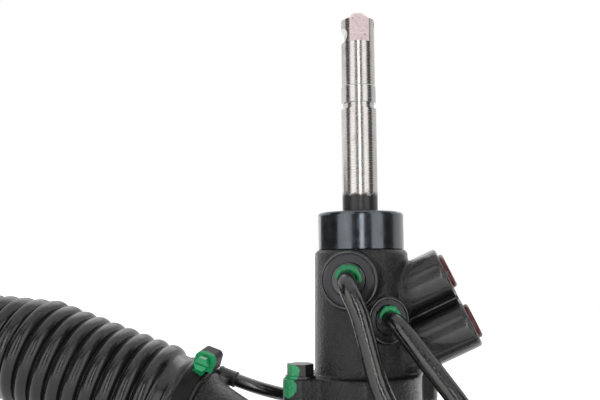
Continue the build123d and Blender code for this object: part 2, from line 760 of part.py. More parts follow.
def column_gasket():
    """Flat gasket between the two flanges."""
    plate = lobed_plate(flange_r, [bolt_left_uv, bolt_rear_uv], flange_lobe_r,
                        flange_joint_w - gasket_thick, flange_joint_w)
    plate -= along_w(spigot_r + seat_gap, flange_joint_w - 5, flange_joint_w + 5)
    for u, v in (bolt_left_uv, bolt_rear_uv):
        plate -= along_w(bolt_r + seat_gap, flange_joint_w - 5, flange_joint_w + 5, u, v)
    return plate


def flange_bolts():
    """Two hexagon bolts that hold the valve housing."""
    top = flange_joint_w + flange_thick + washer_thick
    bolts = []
    for u, v in (bolt_left_uv, bolt_rear_uv):
        head = hexagon_prism(bolt_head_flats, bolt_head_height) & Cylinder(
            bolt_head_flats / 2 + 0.75, bolt_head_height, align=(Align.CENTER, Align.CENTER, Align.MIN))
        shank_length = top - flange_joint_w + bolt_depth
        shank = Pos(0, 0, -shank_length / 2) * Cylinder(bolt_r, shank_length)
        bolts.append((column * Pos(u, v, top) * (head + shank)).solid())
    return Compound(children=bolts)


def flange_washers():
    """Washers under the two bolt heads."""
    low = flange_joint_w + flange_thick
    rings = []
    for u, v in (bolt_left_uv, bolt_rear_uv):
        ring = Cylinder(washer_r, washer_thick) - Cylinder(bolt_r + seat_gap, washer_thick)
        rings.append((column * Pos(u, v, low + washer_thick / 2) * ring).solid())
    return Compound(children=rings)


# ---------------------------------------------------------------- support yoke
def yoke_cylinder(radius, y0, y1):
    """Cylinder about the yoke axis, from -y0 to -y1."""
    return Pos(0, -(y0 + y1) / 2, 0) * Rot(90, 0, 0) * Cylinder(radius, abs(y1 - y0))


def support_yoke():
    """Sliding block that backs the rack, with a cradle for the liner."""
    body = yoke_cylinder(yoke_r, 6, yoke_back)
    return body - along_x(rack_r + running_fit + yoke_liner, -2 * yoke_r, 2 * yoke_r)


def yoke_liner_pad():
    """Low-friction liner between yoke and rack."""
    inner = rack_r + running_fit
    return yoke_cylinder(yoke_r, 6, yoke_back) & ring_about_x(inner, inner + yoke_liner, -yoke_r, yoke_r)


def yoke_springs():
    """Pair of disc springs behind the yoke."""
    y = -yoke_back
    half = spring_stack / 2
    discs = []
    for base, tip in ((y - half, y), (y - half, y - 2 * half)):
        lean_out = 0.9 if tip > base else -0.9
        section = make_face(Polyline((5, tip, 0), (5, tip - lean_out, 0), (11.5, base, 0),
                                     (11.5, base + lean_out, 0), close=True))
        discs.append(revolve(section, Axis.Y).solid())
    return Compound(children=discs)


def yoke_plug():
    """Threaded adjuster plug with a square socket."""
    body = yoke_cylinder(yoke_r, yoke_back + spring_stack, yoke_plug_end)
    return body - Pos(0, -yoke_plug_end + 4, 0) * Box(10, 8, 10)


def yoke_lock_nut():
    """Ring nut that locks the adjuster plug."""
    nut = hexagon_prism(lock_nut_flats, lock_nut_thick) - Cylinder(yoke_r + seat_gap, 3 * lock_nut_thick)
    return Pos(0, -yoke_boss_reach, 0) * Rot(90, 0, 0) * nut


# ---------------------------------------------------------------- rack ends
def mirrored_ends(build):
    """Left and right copies of a rack-end piece built about its shoulder on +x."""
    right = Pos(rack_right_x, 0, 0) * build
    left = Pos(rack_left_x, 0, 0) * Rot(0, 0, 180) * build
    return left, right


def inner_socket():
    """Inner joint housing: screwed stud, ball pocket and open mouth."""
    centre = ball_from_shoulder
    pocket_r = ball_r + running_fit + ball_seat_wall + running_fit
    mouth = joint_mouth_angle
    rim_r = (socket_length - centre) * math.tan(math.radians(mouth))
    body = turned_about_x([
        (-stud_length, 0), (-stud_length, stud_r - 0.6), (-stud_length + 0.6, stud_r), (0, stud_r),
        (0, socket_r - 1.5), (1.5, socket_r), (socket_length - 3, socket_r), (socket_length, rim_r + 0.8),
        (socket_length, 0),
    ])
    body -= Pos(centre, 0, 0) * Sphere(pocket_r)
    cone = turned_about_x([(centre, 0), (centre + 20, 20 * math.tan(math.radians(mouth))), (centre + 20, 0)])
    body -= cone
    for side in (-1, 1):
        body -= Pos(8, side * (socket_r + 6 - 2.5), 0) * Box(9, 12, 2 * socket_r)
    return body


def inner_sockets():
    """Inner joint housings of both rack ends."""
    return Compound(children=[socket.solid() for socket in mirrored_ends(inner_socket())])


def ball_seat():
    """Plastic shell round the ball, open towards the rod."""
    outer = ball_r + running_fit + ball_seat_wall
    body = Sphere(outer) - Sphere(ball_r + running_fit)
    opening = turned_about_x([(0, 0), (20, 20 * math.tan(math.radians(seat_mouth_angle))), (20, 0)])
    return Pos(ball_from_shoulder, 0, 0) * (body - opening)


def tie_rod():
    """Ball, neck, boot groove, spanner flats and threaded end of one tie rod."""
    thread_start = rod_length - rod_thread_length
    body = Sphere(ball_r) + turned_about_x([
        (0, 0), (0, rod_neck_r), (15, rod_neck_r), (24, rod_r + 1), (boot_groove_x - 9, rod_r + 1),
        (boot_groove_x - 7, rod_r), (thread_start - 24, rod_r), (thread_start - 22, rod_r + 1.2),
        (thread_start - 6, rod_r + 1.2), (thread_start - 4, rod_r), (rod_length - 1.5, rod_r),
        (rod_length, rod_r - 1.5), (rod_length, 0),
    ])
    witness = thread_start + jam_nut_offset + jam_nut_thick / 2 + 0.5
    body -= ring_about_x(rod_r - witness_depth, rod_r + 1, witness, witness + witness_width)
    for side in (-1, 1):
        body -= Pos(thread_start - 14, side * (rod_r + 4.6), 0) * Box(12, 8, 30)
    return Pos(ball_from_shoulder, 0, 0) * body


def jam_nut():
    """Hexagon nut on the tie-rod thread."""
    nut = Pos(0, 0, -jam_nut_thick / 2) * hexagon_prism(22.0, jam_nut_thick)
    nut -= Cylinder(rod_r + seat_gap, 2 * jam_nut_thick)
    middle = ball_from_shoulder + rod_length - rod_thread_length + jam_nut_offset
    return Pos(middle, 0, 0) * Rot(0, 90, 0) * nut


def boot_clip():
    """Spring clip round the small cuff, on the tie rod."""
    x = ball_from_shoulder + boot_groove_x
    inner = small_cuff_r + free_gap
    ring = ring_about_x(inner, inner + 1.2, x - 3, x + 3)
    ear = Pos(x, 0, inner + 2.6) * Box(6, 5, 4)
    return ring + (ear - along_x(inner + 0.5, x - 10, x + 10))


# ---------------------------------------------------------------- boots and clamps
def boot():
    """Convoluted boot, from its large cuff at x = 0 to the small cuff on the rod."""
    outer = [(0, cuff_r), (large_cuff_length, cuff_r)]
    radii = []
    for k in range(ring_count):
        fade = max(0.0, (k - (ring_count - 1 - taper_rings)) / taper_rings)
        drop = (cuff_r - small_cuff_r - 6) * fade
        radii.append((ring_r - drop, valley_r - drop))
    x = large_cuff_length
    for peak, valley in radii:
        outer += [(x + 0.5 * ring_pitch - ring_flat / 2, peak), (x + 0.5 * ring_pitch + ring_flat / 2, peak),
                  (x + ring_pitch, valley)]
        x += ring_pitch
    end = x + small_cuff_length
    inner_bore = rod_r + free_gap
    bore_start = x + cuff_step
    outer += [(bore_start, small_cuff_r), (end, small_cuff_r), (end, inner_bore), (bore_start, inner_bore)]
    inner = [(0, boot_seat_r + seat_gap), (large_cuff_length, boot_seat_r + seat_gap)]
    x = large_cuff_length
    for peak, valley in radii:
        inner += [(x + 0.5 * ring_pitch, peak - boot_wall), (x + ring_pitch, valley - boot_wall)]
        x += ring_pitch
    return turned_about_x(outer + inner[::-1])


def placed_boots():
    """Left and right boots on their seats."""
    left = Pos(seat_end_x, 0, 0) * Rot(0, 0, 180) * boot()
    right = Pos(right_face_x - seat_length, 0, 0) * boot()
    return left, right


def both_seats(piece, lift=0.0):
    """Copies of a clamp piece, built about x = 0, over the two boot seats and turned about them."""
    left = seat_end_x - clamp_from_end + lift
    right = right_face_x - seat_length + clamp_from_end - lift
    return Compound(children=[(Pos(x, 0, 0) * Rot(clamp_turn, 0, 0) * piece).solid() for x in (left, right)])


def clamp_band():
    """Worm-drive band with its overlapping tail."""
    inner = cuff_r + band_gap
    return ring_about_x(inner, inner + clamp_thick, -clamp_width / 2, clamp_width / 2)


def clamp_housing():
    """Worm housing that straddles the band and holds the screw."""
    base = cuff_r + band_gap + clamp_thick
    block = Pos(0, clamp_screw_y, base + 4.2) * Box(worm_housing_width, 13, 9.4)
    block = fillet(block.edges().filter_by(Axis.Y).group_by(Axis.Z)[-1], 3.0)
    block -= along_x(base + seat_gap, -20, 20)
    return block - Pos(0, clamp_screw_y, base + 4.4) * Rot(90, 0, 0) * Cylinder(clamp_screw_r + 0.3, 30)


def clamp_screw():
    """Worm screw with a slotted head."""
    height = cuff_r + band_gap + clamp_thick + 4.4
    shank = Pos(0, clamp_screw_y, height) * Rot(90, 0, 0) * Cylinder(clamp_screw_r, 16)
    head_y = clamp_screw_y - 8
    head = Pos(0, head_y, height) * Rot(90, 0, 0) * hexagon_prism(7.0, clamp_head_length)
    slot = Pos(0, head_y - clamp_head_length, height) * Box(8.5, 2.4, 1.2)
    return shank + head - slot


# ---------------------------------------------------------------- cylinder side
def boss_frame(x, run_yz):
    """Frame at the tube axis whose local z points to a pipe run."""
    angle = math.degrees(math.atan2(run_yz[1], -run_yz[0]))
    return Pos(x, 0, 0) * Rot(-angle, 0, 0) * Rot(90, 0, 0)


def cylinder_tube():
    """Steel tube of the hydraulic cylinder, drilled at its two ports."""
    body = ring_about_x(tube_inner_r, tube_outer_r, tube_socket_x, tube_end_x)
    for x, run in ((near_port_x, near_run_yz), (far_port_x, far_run_yz)):
        body -= boss_frame(x, run) * Pos(0, 0, tube_outer_r) * Cylinder(3.5, 12)
    return body


def cylinder_bosses():
    """Two port bosses brazed on the tube."""
    bosses = []
    for x, run in ((near_port_x, near_run_yz), (far_port_x, far_run_yz)):
        frame = boss_frame(x, run)
        body = frame * Pos(0, 0, cylinder_boss_reach / 2) * Cylinder(cylinder_boss_r, cylinder_boss_reach)
        body -= along_x(tube_outer_r + seat_gap, x - 20, x + 20)
        body -= frame * Pos(0, 0, cylinder_boss_reach / 2) * Cylinder(3.5, cylinder_boss_reach + 2)
        body -= frame * Pos(0, 0, cylinder_boss_reach - cylinder_nut_depth / 2) \
            * Cylinder(lower_nut_r + seat_gap, cylinder_nut_depth)
        bosses.append(body.solid())
    return Compound(children=bosses)


def inner_gland():
    """Rack seal carrier that closes the pinion side of the cylinder."""
    x0, x1 = inner_gland_x, inner_gland_x + gland_length
    body = ring_about_x(rack_r + running_fit, tube_inner_r - seat_gap, x0, x1)
    return body - ring_about_x(rack_r - 1, rack_r + 1.6, x1 - 5, x1 + 1)


def rack_seals():
    """Lip seals in the inner gland and the end bush."""
    x1 = inner_gland_x + gland_length
    spans = ((x1 - 5, x1 - 0.5), (end_bush_x + 0.5, end_bush_x + 5))
    rings = [ring_about_x(rack_r + running_fit, rack_r + 1.6, *span) for span in spans]
    return Compound(children=[ring.solid() for ring in rings])


def end_bush():
    """Rack bush and gland at the far end of the cylinder."""
    x0, x1 = end_bush_x, end_bush_x + end_bush_length
    body = ring_about_x(rack_r + running_fit, tube_inner_r - seat_gap, x0, x1)
    return body - ring_about_x(rack_r - 1, rack_r + 1.6, x0 - 1, x0 + 5)


def end_fitting():
    """Right end of the housing: sleeve on the tube, end wall, pocket and boot seat."""
    seat_start = right_face_x - seat_length
    body = turned_about_x([
        (tube_end_x - 12, 0), (tube_end_x - 12, tube_outer_r + 3), (tube_end_x - 10, tube_outer_r + 4),
        (seat_start - neck_length, tube_outer_r + 4), (seat_start, boot_seat_r),
        (right_face_x - 0.8, boot_seat_r),
        (right_face_x, boot_seat_r - 0.8), (right_face_x, 0),
    ])
    body += breather_boss(seat_start - breather_boss_length, seat_start, breather_right_yz)
    body -= along_x(tube_outer_r + seat_gap, tube_end_x - 13, tube_end_x)
    body -= along_x(rack_r + free_gap, tube_end_x - 1, end_bulkhead_x + 1)
    body -= along_x(mouth_bore_r, end_bulkhead_x, right_face_x)
    socket_start = seat_start - breather_boss_length
    return body - along_x(breather_r + seat_gap, socket_start, socket_start + breather_grip,
                          *breather_right_yz)


# ---------------------------------------------------------------- pipes, nuts and plugs
def port_points(frame, start, corner):
    """World points on a port axis, where the pipe starts and where it would turn."""
    return [(frame * Pos(0, 0, d)).position for d in (start, corner)]


def pipe_along(points, radii, radius, wall):
    """Hollow pipe along straight runs joined by arcs."""
    path = FilletPolyline(*points, radius=radii)
    section = Circle(radius) - Circle(radius - wall)
    return sweep(Plane(origin=path @ 0, z_dir=path % 0) * section, path=path)


def nut_bottom(x, run_yz):
    """World point at the bottom of a cylinder boss's nut, where a pipe ends."""
    return (boss_frame(x, run_yz) * Pos(0, 0, cylinder_boss_reach - cylinder_nut_depth)).position


def upper_port_frame():
    """Frame of the upper pipe port."""
    return port_frame(upper_port_azimuth, column_top_w - upper_port_drop)


def lower_port_frame():
    """Frame of the lower pipe port."""
    return port_frame(lower_port_azimuth, column_top_w - lower_port_drop)


def column_point(u, v, w):
    """World position of a point given in the column frame."""
    return (column * Pos(u, v, w)).position


def near_pipe():
    """Pipe from the upper valve port to the near end of the cylinder."""
    points = port_points(upper_port_frame(), upper_port_reach - nut_depth, upper_port_reach + 11)
    below_port = column_top_w - upper_port_drop - near_pipe_drop
    points += [column_point(4.5, -46.0, below_port), column_point(15.3, -46.0, 50.0),
               (24, near_run_yz[0] + 3, 34), (50, *near_run_yz), (near_port_x, *near_run_yz)]
    points.append(nut_bottom(near_port_x, near_run_yz))
    return pipe_along(points, [11, 38, 50, 40, 40, 13], pipe_r, pipe_wall)


def far_pipe():
    """Pipe from the lower valve port to the far end of the cylinder."""
    points = port_points(lower_port_frame(), lower_port_reach - nut_depth, lower_port_reach + 6.5)
    below_port = column_top_w - lower_port_drop - far_pipe_drop
    points += [column_point(50.5, -42.0, below_port), (64, far_run_yz[0], far_run_yz[1] + 4),
               (90, *far_run_yz), (far_port_x, *far_run_yz)]
    points.append(nut_bottom(far_port_x, far_run_yz))
    return pipe_along(points, [11, 60, 30, 60, 13], pipe_r, pipe_wall)


def tube_nut(frame, reach, radius, depth):
    """Tube nut sunk in a port, with a hexagon that stands proud."""
    nut = frame * Pos(0, 0, reach - depth / 2) * Cylinder(radius, depth)
    nut += frame * Pos(0, 0, reach) * (hexagon_prism(1.7 * radius, nut_proud))
    return nut - frame * Pos(0, 0, reach) * Cylinder(pipe_r + seat_gap, 3 * depth)


def tube_nuts():
    """Tube nuts of the two valve ports and the two cylinder ports."""
    nuts = [tube_nut(upper_port_frame(), upper_port_reach, upper_nut_r, nut_depth),
            tube_nut(lower_port_frame(), lower_port_reach, lower_nut_r, nut_depth)]
    nuts += [tube_nut(boss_frame(x, run), cylinder_boss_reach, lower_nut_r, cylinder_nut_depth)
             for x, run in ((near_port_x, near_run_yz), (far_port_x, far_run_yz))]
    return Compound(children=[nut.solid() for nut in nuts])


def hose_plugs():
    """Push-in dust plugs of the two hose ports."""
    plugs = []
    for end in hose_ends():
        plug = turned([
            (0, -plug_depth), (hose_bore_r - 0.8, -plug_depth), (hose_bore_r - seat_gap, 2 - plug_depth),
            (hose_bore_r - seat_gap, 0), (plug_rim_r, 0), (plug_rim_r, plug_rim_height - 0.8),
            (plug_rim_r - 0.8, plug_rim_height), (0, plug_rim_height),
        ])
        plugs.append((hose_frame(end) * plug).solid())
    return Compound(children=plugs)


def breather_pipe():
    """Thin pipe that joins the air spaces of the two boots, behind the column."""
    y, z = breather_yz
    start = seat_end_x + breather_boss_length - breather_grip
    end = right_face_x - seat_length - breather_boss_length + breather_grip
    points = [(start, y, z), (-66, y, z), (-36, 54, z), (24, 54, z + 1), (66, 34, z + 3),
              (110, *breather_right_yz), (end, *breather_right_yz)]
    return pipe_along(points, [40, 40, 50, 50, 60], breather_r, 0.8)


# ---------------------------------------------------------------- mounts
def lug_frame(x):
    """Frame at a mounting eye, local z along the bolt."""
    return Pos(x, 0, lug_z) * Rot(90, 0, 0)


def mount_bushes():
    """Rubber bushes in the two mounting eyes."""
    ring = Cylinder(bush_outer_r, lug_width) - Cylinder(sleeve_outer_r + seat_gap, lug_width + 2)
    return Compound(children=[(lug_frame(x) * ring).solid() for x in lug_x])


def mount_sleeves():
    """Steel sleeves that take the mounting bolts."""
    ring = Cylinder(sleeve_outer_r, mount_sleeve_length) - Cylinder(sleeve_bore, mount_sleeve_length + 2)
    return Compound(children=[(lug_frame(x) * ring).solid() for x in lug_x])


def bracket_rubber():
    """Rubber block round the cylinder tube, flat towards the body of the car."""
    half = bracket_width / 2
    body = along_x(bracket_rubber_r, bracket_x - half, bracket_x + half)
    body += Pos(bracket_x, bracket_rubber_r / 2, 0) \
        * Box(bracket_width, bracket_rubber_r, 2 * bracket_rubber_r)
    return body - along_x(tube_outer_r + seat_gap, bracket_x - 30, bracket_x + 30)


def tube_bracket():
    """Steel saddle over the rubber block, with two bolt ears."""
    width = bracket_width - 4
    inner = bracket_rubber_r + seat_gap
    outer = inner + bracket_steel
    half = width / 2
    saddle = ring_about_x(inner, outer, bracket_x - half, bracket_x + half) \
        & (Pos(bracket_x, -outer / 2, 0) * Box(width, outer, 2 * outer))
    leg = Pos(bracket_x, bracket_rubber_r / 2, inner + bracket_steel / 2) \
        * Box(width, bracket_rubber_r, bracket_steel)
    ear_length = 24.0
    ear = Pos(bracket_x, bracket_rubber_r - bracket_steel / 2, inner + ear_length / 2) \
        * Box(width, bracket_steel, ear_length)
    ear -= Pos(bracket_x, bracket_rubber_r, bracket_hole_z) * Rot(90, 0, 0) * Cylinder(bracket_hole_r, 20)
    upper = leg + ear
    return saddle + upper + mirror(upper, about=Plane.XY)


# ---------------------------------------------------------------- export
def all_nodes():
    """Every sub-part by node name."""
    seat_left, seat_right = mirrored_ends(ball_seat())
    rod_left, rod_right = mirrored_ends(tie_rod())
    nut_left, nut_right = mirrored_ends(jam_nut())
    clip_left, clip_right = mirrored_ends(boot_clip())
    boot_left, boot_right = placed_boots()
    return {
        "gear_housing": gear_housing(),
        "valve_housing": valve_housing(),
        "column_cap": column_cap(),
        "column_gasket": column_gasket(),
        "flange_bolts": flange_bolts(),
        "flange_washers": flange_washers(),
        "needle_bearing": needle_bearing(),
        "oil_seal": oil_seal(),
        "dust_seal": dust_seal(),
        "pinion_bush": pinion_bush(),
        "bearing_outer_race": bearing_outer(),
        "bottom_cap": bottom_cap(),
        "support_yoke": support_yoke(),
        "yoke_liner": yoke_liner_pad(),
        "yoke_springs": yoke_springs(),
        "yoke_plug": yoke_plug(),
        "yoke_lock_nut": yoke_lock_nut(),
        "cylinder_tube": cylinder_tube(),
        "cylinder_port_bosses": cylinder_bosses(),
        "inner_gland": inner_gland(),
        "end_bush": end_bush(),
        "rack_seals": rack_seals(),
        "end_fitting": end_fitting(),
        "transfer_pipe_near": near_pipe(),
        "transfer_pipe_far": far_pipe(),
        "tube_nuts": tube_nuts(),
        "hose_port_plugs": hose_plugs(),
        "breather_pipe": breather_pipe(),
        "mount_bushes": mount_bushes(),
        "mount_sleeves": mount_sleeves(),
        "bracket_rubber": bracket_rubber(),
        "tube_bracket": tube_bracket(),
        "boot_left": boot_left,
        "boot_right": boot_right,
        "boot_clamp_bands": both_seats(clamp_band()),
        "boot_clamp_housings": both_seats(clamp_housing(), worm_offset),
        "boot_clamp_screws": both_seats(clamp_screw(), worm_offset),
        "rack_bar": rack_bar(),
        "piston": piston(),
        "piston_ring": piston_ring(),
        "piston_snap_rings": piston_snap_rings(),
        "inner_sockets": inner_sockets(),
        "pinion": pinion(),
        "pinion_nut": pinion_nut(),
        "valve_sleeve": valve_sleeve(),
        "sleeve_rings": sleeve_rings(),
        "bearing_inner_race": bearing_inner(),
        "bearing_balls": bearing_ball_set(),
        "bearing_cage": bearing_cage(),
        "input_shaft": input_shaft(),
        "torsion_bar": torsion_bar(),
        "torsion_pin": torsion_pin(),
        "ball_seat_left": seat_left,
        "ball_seat_right": seat_right,
        "tie_rod_left": rod_left,
        "tie_rod_right": rod_right,
        "jam_nut_left": nut_left,
        "jam_nut_right": nut_right,
        "boot_clip_left": clip_left,
        "boot_clip_right": clip_right,
    }


def set_down(shape):
    """The same solids, moved so that the origin is the middle of the left mounting eye."""
    solids = [Pos(-lug_x[0], 0, -lug_z) * solid for solid in shape.solids()]
    return solids[0] if len(solids) == 1 else Compound(children=solids)


os.makedirs("parts", exist_ok=True)
for name, shape in all_nodes().items():
    export_step(set_down(shape), f"parts/{name}.step")
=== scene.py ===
import bpy
import math
import numpy as np
from mathutils import Euler, Matrix, Vector


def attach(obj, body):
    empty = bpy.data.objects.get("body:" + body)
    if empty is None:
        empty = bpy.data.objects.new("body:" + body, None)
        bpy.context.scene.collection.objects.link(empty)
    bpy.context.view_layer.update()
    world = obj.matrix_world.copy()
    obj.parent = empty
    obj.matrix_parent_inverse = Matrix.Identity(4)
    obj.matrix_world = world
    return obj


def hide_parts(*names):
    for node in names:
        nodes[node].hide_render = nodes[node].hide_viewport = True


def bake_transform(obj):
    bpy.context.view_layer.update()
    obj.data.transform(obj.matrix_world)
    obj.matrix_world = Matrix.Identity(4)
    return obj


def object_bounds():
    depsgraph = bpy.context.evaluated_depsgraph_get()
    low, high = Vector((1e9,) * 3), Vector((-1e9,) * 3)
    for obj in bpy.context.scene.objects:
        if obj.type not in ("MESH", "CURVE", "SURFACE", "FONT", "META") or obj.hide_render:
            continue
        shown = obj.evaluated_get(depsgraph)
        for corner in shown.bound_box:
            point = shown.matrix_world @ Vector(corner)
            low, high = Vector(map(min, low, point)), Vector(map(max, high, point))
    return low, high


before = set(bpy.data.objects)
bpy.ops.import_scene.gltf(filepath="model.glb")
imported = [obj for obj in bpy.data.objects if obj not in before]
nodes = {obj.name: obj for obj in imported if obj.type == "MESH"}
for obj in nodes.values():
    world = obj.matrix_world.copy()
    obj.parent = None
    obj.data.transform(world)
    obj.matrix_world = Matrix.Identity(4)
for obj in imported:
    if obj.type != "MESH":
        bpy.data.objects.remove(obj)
cad_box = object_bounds()

# ---- Camera, floor and lamps
# The gear stands on a pale floor in a small studio: two upright soft boxes, a narrow strip
# lamp near the camera and a dark room behind it, which only polished surfaces mirror.
camera = bpy.data.objects.new("camera", bpy.data.cameras.new("camera"))
bpy.context.scene.collection.objects.link(camera)
camera.data.sensor_width = 36.0
camera.data.lens = 46.8              # mm, on a sensor 36 mm wide
camera.data.clip_start = 0.02
camera_place = Vector((0.066664, -0.422541, 0.163940))
camera_turn = Euler([math.radians(a) for a in (91.0238, -18.1224, 12.4374)]).to_matrix()
camera.matrix_world = Matrix.Translation(camera_place) @ camera_turn.to_4x4()
bpy.context.scene.camera = camera
bpy.context.scene.view_settings.view_transform = "Standard"

LEAN = math.radians(19.0)                  # lean of the pinion axis towards -X
PINION_FOOT = (0.05, 0.017461, 0.038)      # where the pinion axis passes the rack


def column_points(u, v, w):
    """Points given across (u, v) and along (w) the leaning pinion axis, in the object's frame:
    the foot plus (u cos(lean) - w sin(lean), v, u sin(lean) + w cos(lean))."""
    u, v, w = np.broadcast_arrays(u, v, w)
    return np.array(PINION_FOOT) + np.stack([u * math.cos(LEAN) - w * math.sin(LEAN), v,
                                             u * math.sin(LEAN) + w * math.cos(LEAN)], -1)


def studio_direction(azimuth, elevation):
    """Unit vector from the column towards a lamp, in degrees round and above the camera's line."""
    a, e = math.radians(azimuth), math.radians(elevation)
    return camera_turn @ Vector((math.sin(a) * math.cos(e), math.sin(e), math.cos(a) * math.cos(e)))


column_middle = Vector(column_points(0.0, 0.0, 0.12))


def add_lamp(name, azimuth, elevation, distance, width, height, radiance):
    """Area lamp that faces the column; power = radiance x pi x area."""
    data = bpy.data.lights.new(name, "AREA")
    data.shape = "RECTANGLE"
    data.size, data.size_y = width, height
    data.energy = radiance * math.pi * width * height
    lamp = bpy.data.objects.new(name, data)
    bpy.context.scene.collection.objects.link(lamp)
    direction = studio_direction(azimuth, elevation)
    up = camera_turn @ Vector((0, 1, 0))
    side = up.cross(direction).normalized()
    turn = Matrix((side, direction.cross(side), direction)).transposed()
    lamp.matrix_world = Matrix.Translation(column_middle + direction * distance) @ turn.to_4x4()


for lamp in (("soft_box_left", -46, 14, 1.9, 1.2, 2.1, 1.9),
             ("soft_box_right", 41, 12, 1.9, 1.1, 2.1, 1.9),
             ("strip_lamp", -1, 8, 1.7, 0.30, 1.9, 5.2),
             ("fill_behind", 176, 40, 2.2, 2.0, 1.4, 1.2)):
    add_lamp(*lamp)


def wire(tree, kind, **given):
    """New shader node; each given value is linked if it is a socket, set if it is a constant.
    A key is a socket's name, i and a socket's number, or a setting of the node."""
    made = tree.nodes.new("ShaderNode" + kind)
    for key, value in given.items():
        if key[0] == "i" and key[1:].isdigit():
            socket = made.inputs[int(key[1:])]
        elif key.replace("_", " ") in made.inputs:
            socket = made.inputs[key.replace("_", " ")]
        else:
            setattr(made, key, value)
            continue
        if isinstance(value, bpy.types.NodeSocket):
            tree.links.new(value, socket)
        else:
            socket.default_value = value
    return made


def calc(tree, operation, a, b=0.0, c=0.0):
    """One Math node; its result socket."""
    return wire(tree, "Math", operation=operation, i0=a, i1=b, i2=c).outputs[0]


def seen_by_eye_or_gloss(tree, *more):
    """1 for camera and glossy rays, and for any other kind that is named."""
    rays = wire(tree, "LightPath").outputs
    seen = calc(tree, "MAXIMUM", rays["Is Camera Ray"], rays["Is Glossy Ray"])
    for kind in more:
        seen = calc(tree, "MAXIMUM", seen, rays[kind])
    return seen


world = bpy.data.worlds.new("studio")
bpy.context.scene.world = world
world.use_nodes = True
sky = world.node_tree
sky_light = sky.nodes["Background"]
sky_light.inputs["Color"].default_value = (1, 1, 1, 1)
SKY_LIGHT = 0.4                      # strength of the sky as a lamp; where it is seen it is white
sky_strength = wire(sky, "MapRange", i0=seen_by_eye_or_gloss(sky, "Is Transmission Ray"), i3=SKY_LIGHT, i4=1.0)
sky.links.new(sky_strength.outputs[0], sky_light.inputs["Strength"])


def shell_grid(points, closed_u=True, closed_v=False):
    """Quad faces over an (n, m) grid of points: corner (i, j) joins (i+1, j), (i+1, j+1), (i, j+1)."""
    n, m = points.shape[:2]
    index = np.arange(n * m).reshape(n, m)
    if closed_u:
        index = np.concatenate([index, index[:1]], 0)
    if closed_v:
        index = np.concatenate([index, index[:, :1]], 1)
    a, b, c, d = index[:-1, :-1], index[1:, :-1], index[1:, 1:], index[:-1, 1:]
    return np.stack([a, b, c, d], -1).reshape(-1, 4)


def add_mesh(name, vertices, faces, smooth=True):
    """Object at the origin from arrays of vertices and faces."""
    mesh = bpy.data.meshes.new(name)
    mesh.from_pydata(np.asarray(vertices, float).reshape(-1, 3).tolist(), [], [list(f) for f in faces])
    mesh.validate()
    if smooth:
        mesh.polygons.foreach_set("use_smooth", [True] * len(mesh.polygons))
    made = bpy.data.objects.new(name, mesh)
    bpy.context.scene.collection.objects.link(made)
    return made


FLOOR_DROP, FLOOR_HALF = 0.045, 9.0        # low enough for the tie rods to swing down over it
floor_z = cad_box[0].z - FLOOR_DROP
floor = add_mesh("floor", [(x * FLOOR_HALF, y * FLOOR_HALF, floor_z)
                           for x, y in ((-1, -1), (1, -1), (1, 1), (-1, 1))], [(0, 1, 2, 3)], smooth=False)
floor_finish = bpy.data.materials.new("pale_floor")
floor_finish.use_nodes = True
tree = floor_finish.node_tree
paper = tree.nodes["Principled BSDF"]
for socket, value in (("Base Color", (0.86, 0.86, 0.86, 1)), ("Roughness", 0.9), ("Emission Color", (1, 1, 1, 1))):
    paper.inputs[socket].default_value = value
# the floor is burnt out away from the gear: its glow rises from 0.5 to 1 between 0.3 and 1.1 m
from_middle = wire(tree, "VectorMath", operation="LENGTH", i0=wire(tree, "TexCoord").outputs["Object"])
whiter = wire(tree, "MapRange", i0=from_middle.outputs["Value"], i1=0.3, i2=1.1, i3=0.5, i4=1.0).outputs[0]
tree.links.new(calc(tree, "MULTIPLY", seen_by_eye_or_gloss(tree), whiter), paper.inputs["Emission Strength"])
floor.data.materials.append(floor_finish)

# The dark room behind the camera is part of an upright drum round the column; a black flag
# and a dark card stand closer on the left. Only reflections show them.
room_finish = bpy.data.materials.new("dark_room")
room_finish.use_nodes = True
room_finish.node_tree.nodes["Principled BSDF"].inputs["Base Color"].default_value = (0.05, 0.05, 0.05, 1)


def add_flag(name, from_azimuth, to_azimuth, distance, low, high):
    """Dark upright panel bent round the column: a part of a cylinder between two heights."""
    rise = camera_turn @ Vector((0, 1, 0))
    panel = np.array([[np.array(column_middle + studio_direction(a, 0) * distance + rise * h)
                       for h in (low, high)] for a in np.linspace(from_azimuth, to_azimuth, 41)])
    made = add_mesh(name, panel, shell_grid(panel, closed_u=False), smooth=False)
    made.data.materials.append(room_finish)
    made.visible_camera = made.visible_diffuse = made.visible_shadow = made.visible_transmission = False


for flag in (("dark_room", -100, 92, 2.3, -1.6, 2.6),
             ("black_flag", -135, -68, 0.6, -0.3, 0.085),
             ("dark_edge", -92, -67, 0.75, -0.3, 0.9)):
    add_flag(*flag)


# ---- Castings: gear housing and valve housing
# Iron castings under black paint; the joint faces, the port faces and the bores are machined.
# The paint is thin, so the grain of the sand mould shows everywhere but on those faces.
def blend_colours(tree, share, a, b):
    """Mix of two colours by a share from 0 to 1."""
    return wire(tree, "Mix", data_type="RGBA", i0=share, i6=a, i7=b).outputs[2]


def ramp(tree, value, low, high, to_low=0.0, to_high=1.0):
    """Value between low and high spread smoothly over to_low to to_high."""
    return wire(tree, "MapRange", interpolation_type="SMOOTHSTEP", i0=value, i1=low, i2=high,
                i3=to_low, i4=to_high).outputs[0]


def place_of(tree):
    """Coordinates on the piece, in metres."""
    return wire(tree, "TexCoord").outputs["Object"]


def noise(tree, place, scale, detail=2.0, roughness=0.5, distortion=0.0):
    """Noise of a given number of cells per metre."""
    return wire(tree, "TexNoise", Vector=place, Scale=scale, Detail=detail, Roughness=roughness,
                Distortion=distortion).outputs["Fac"]


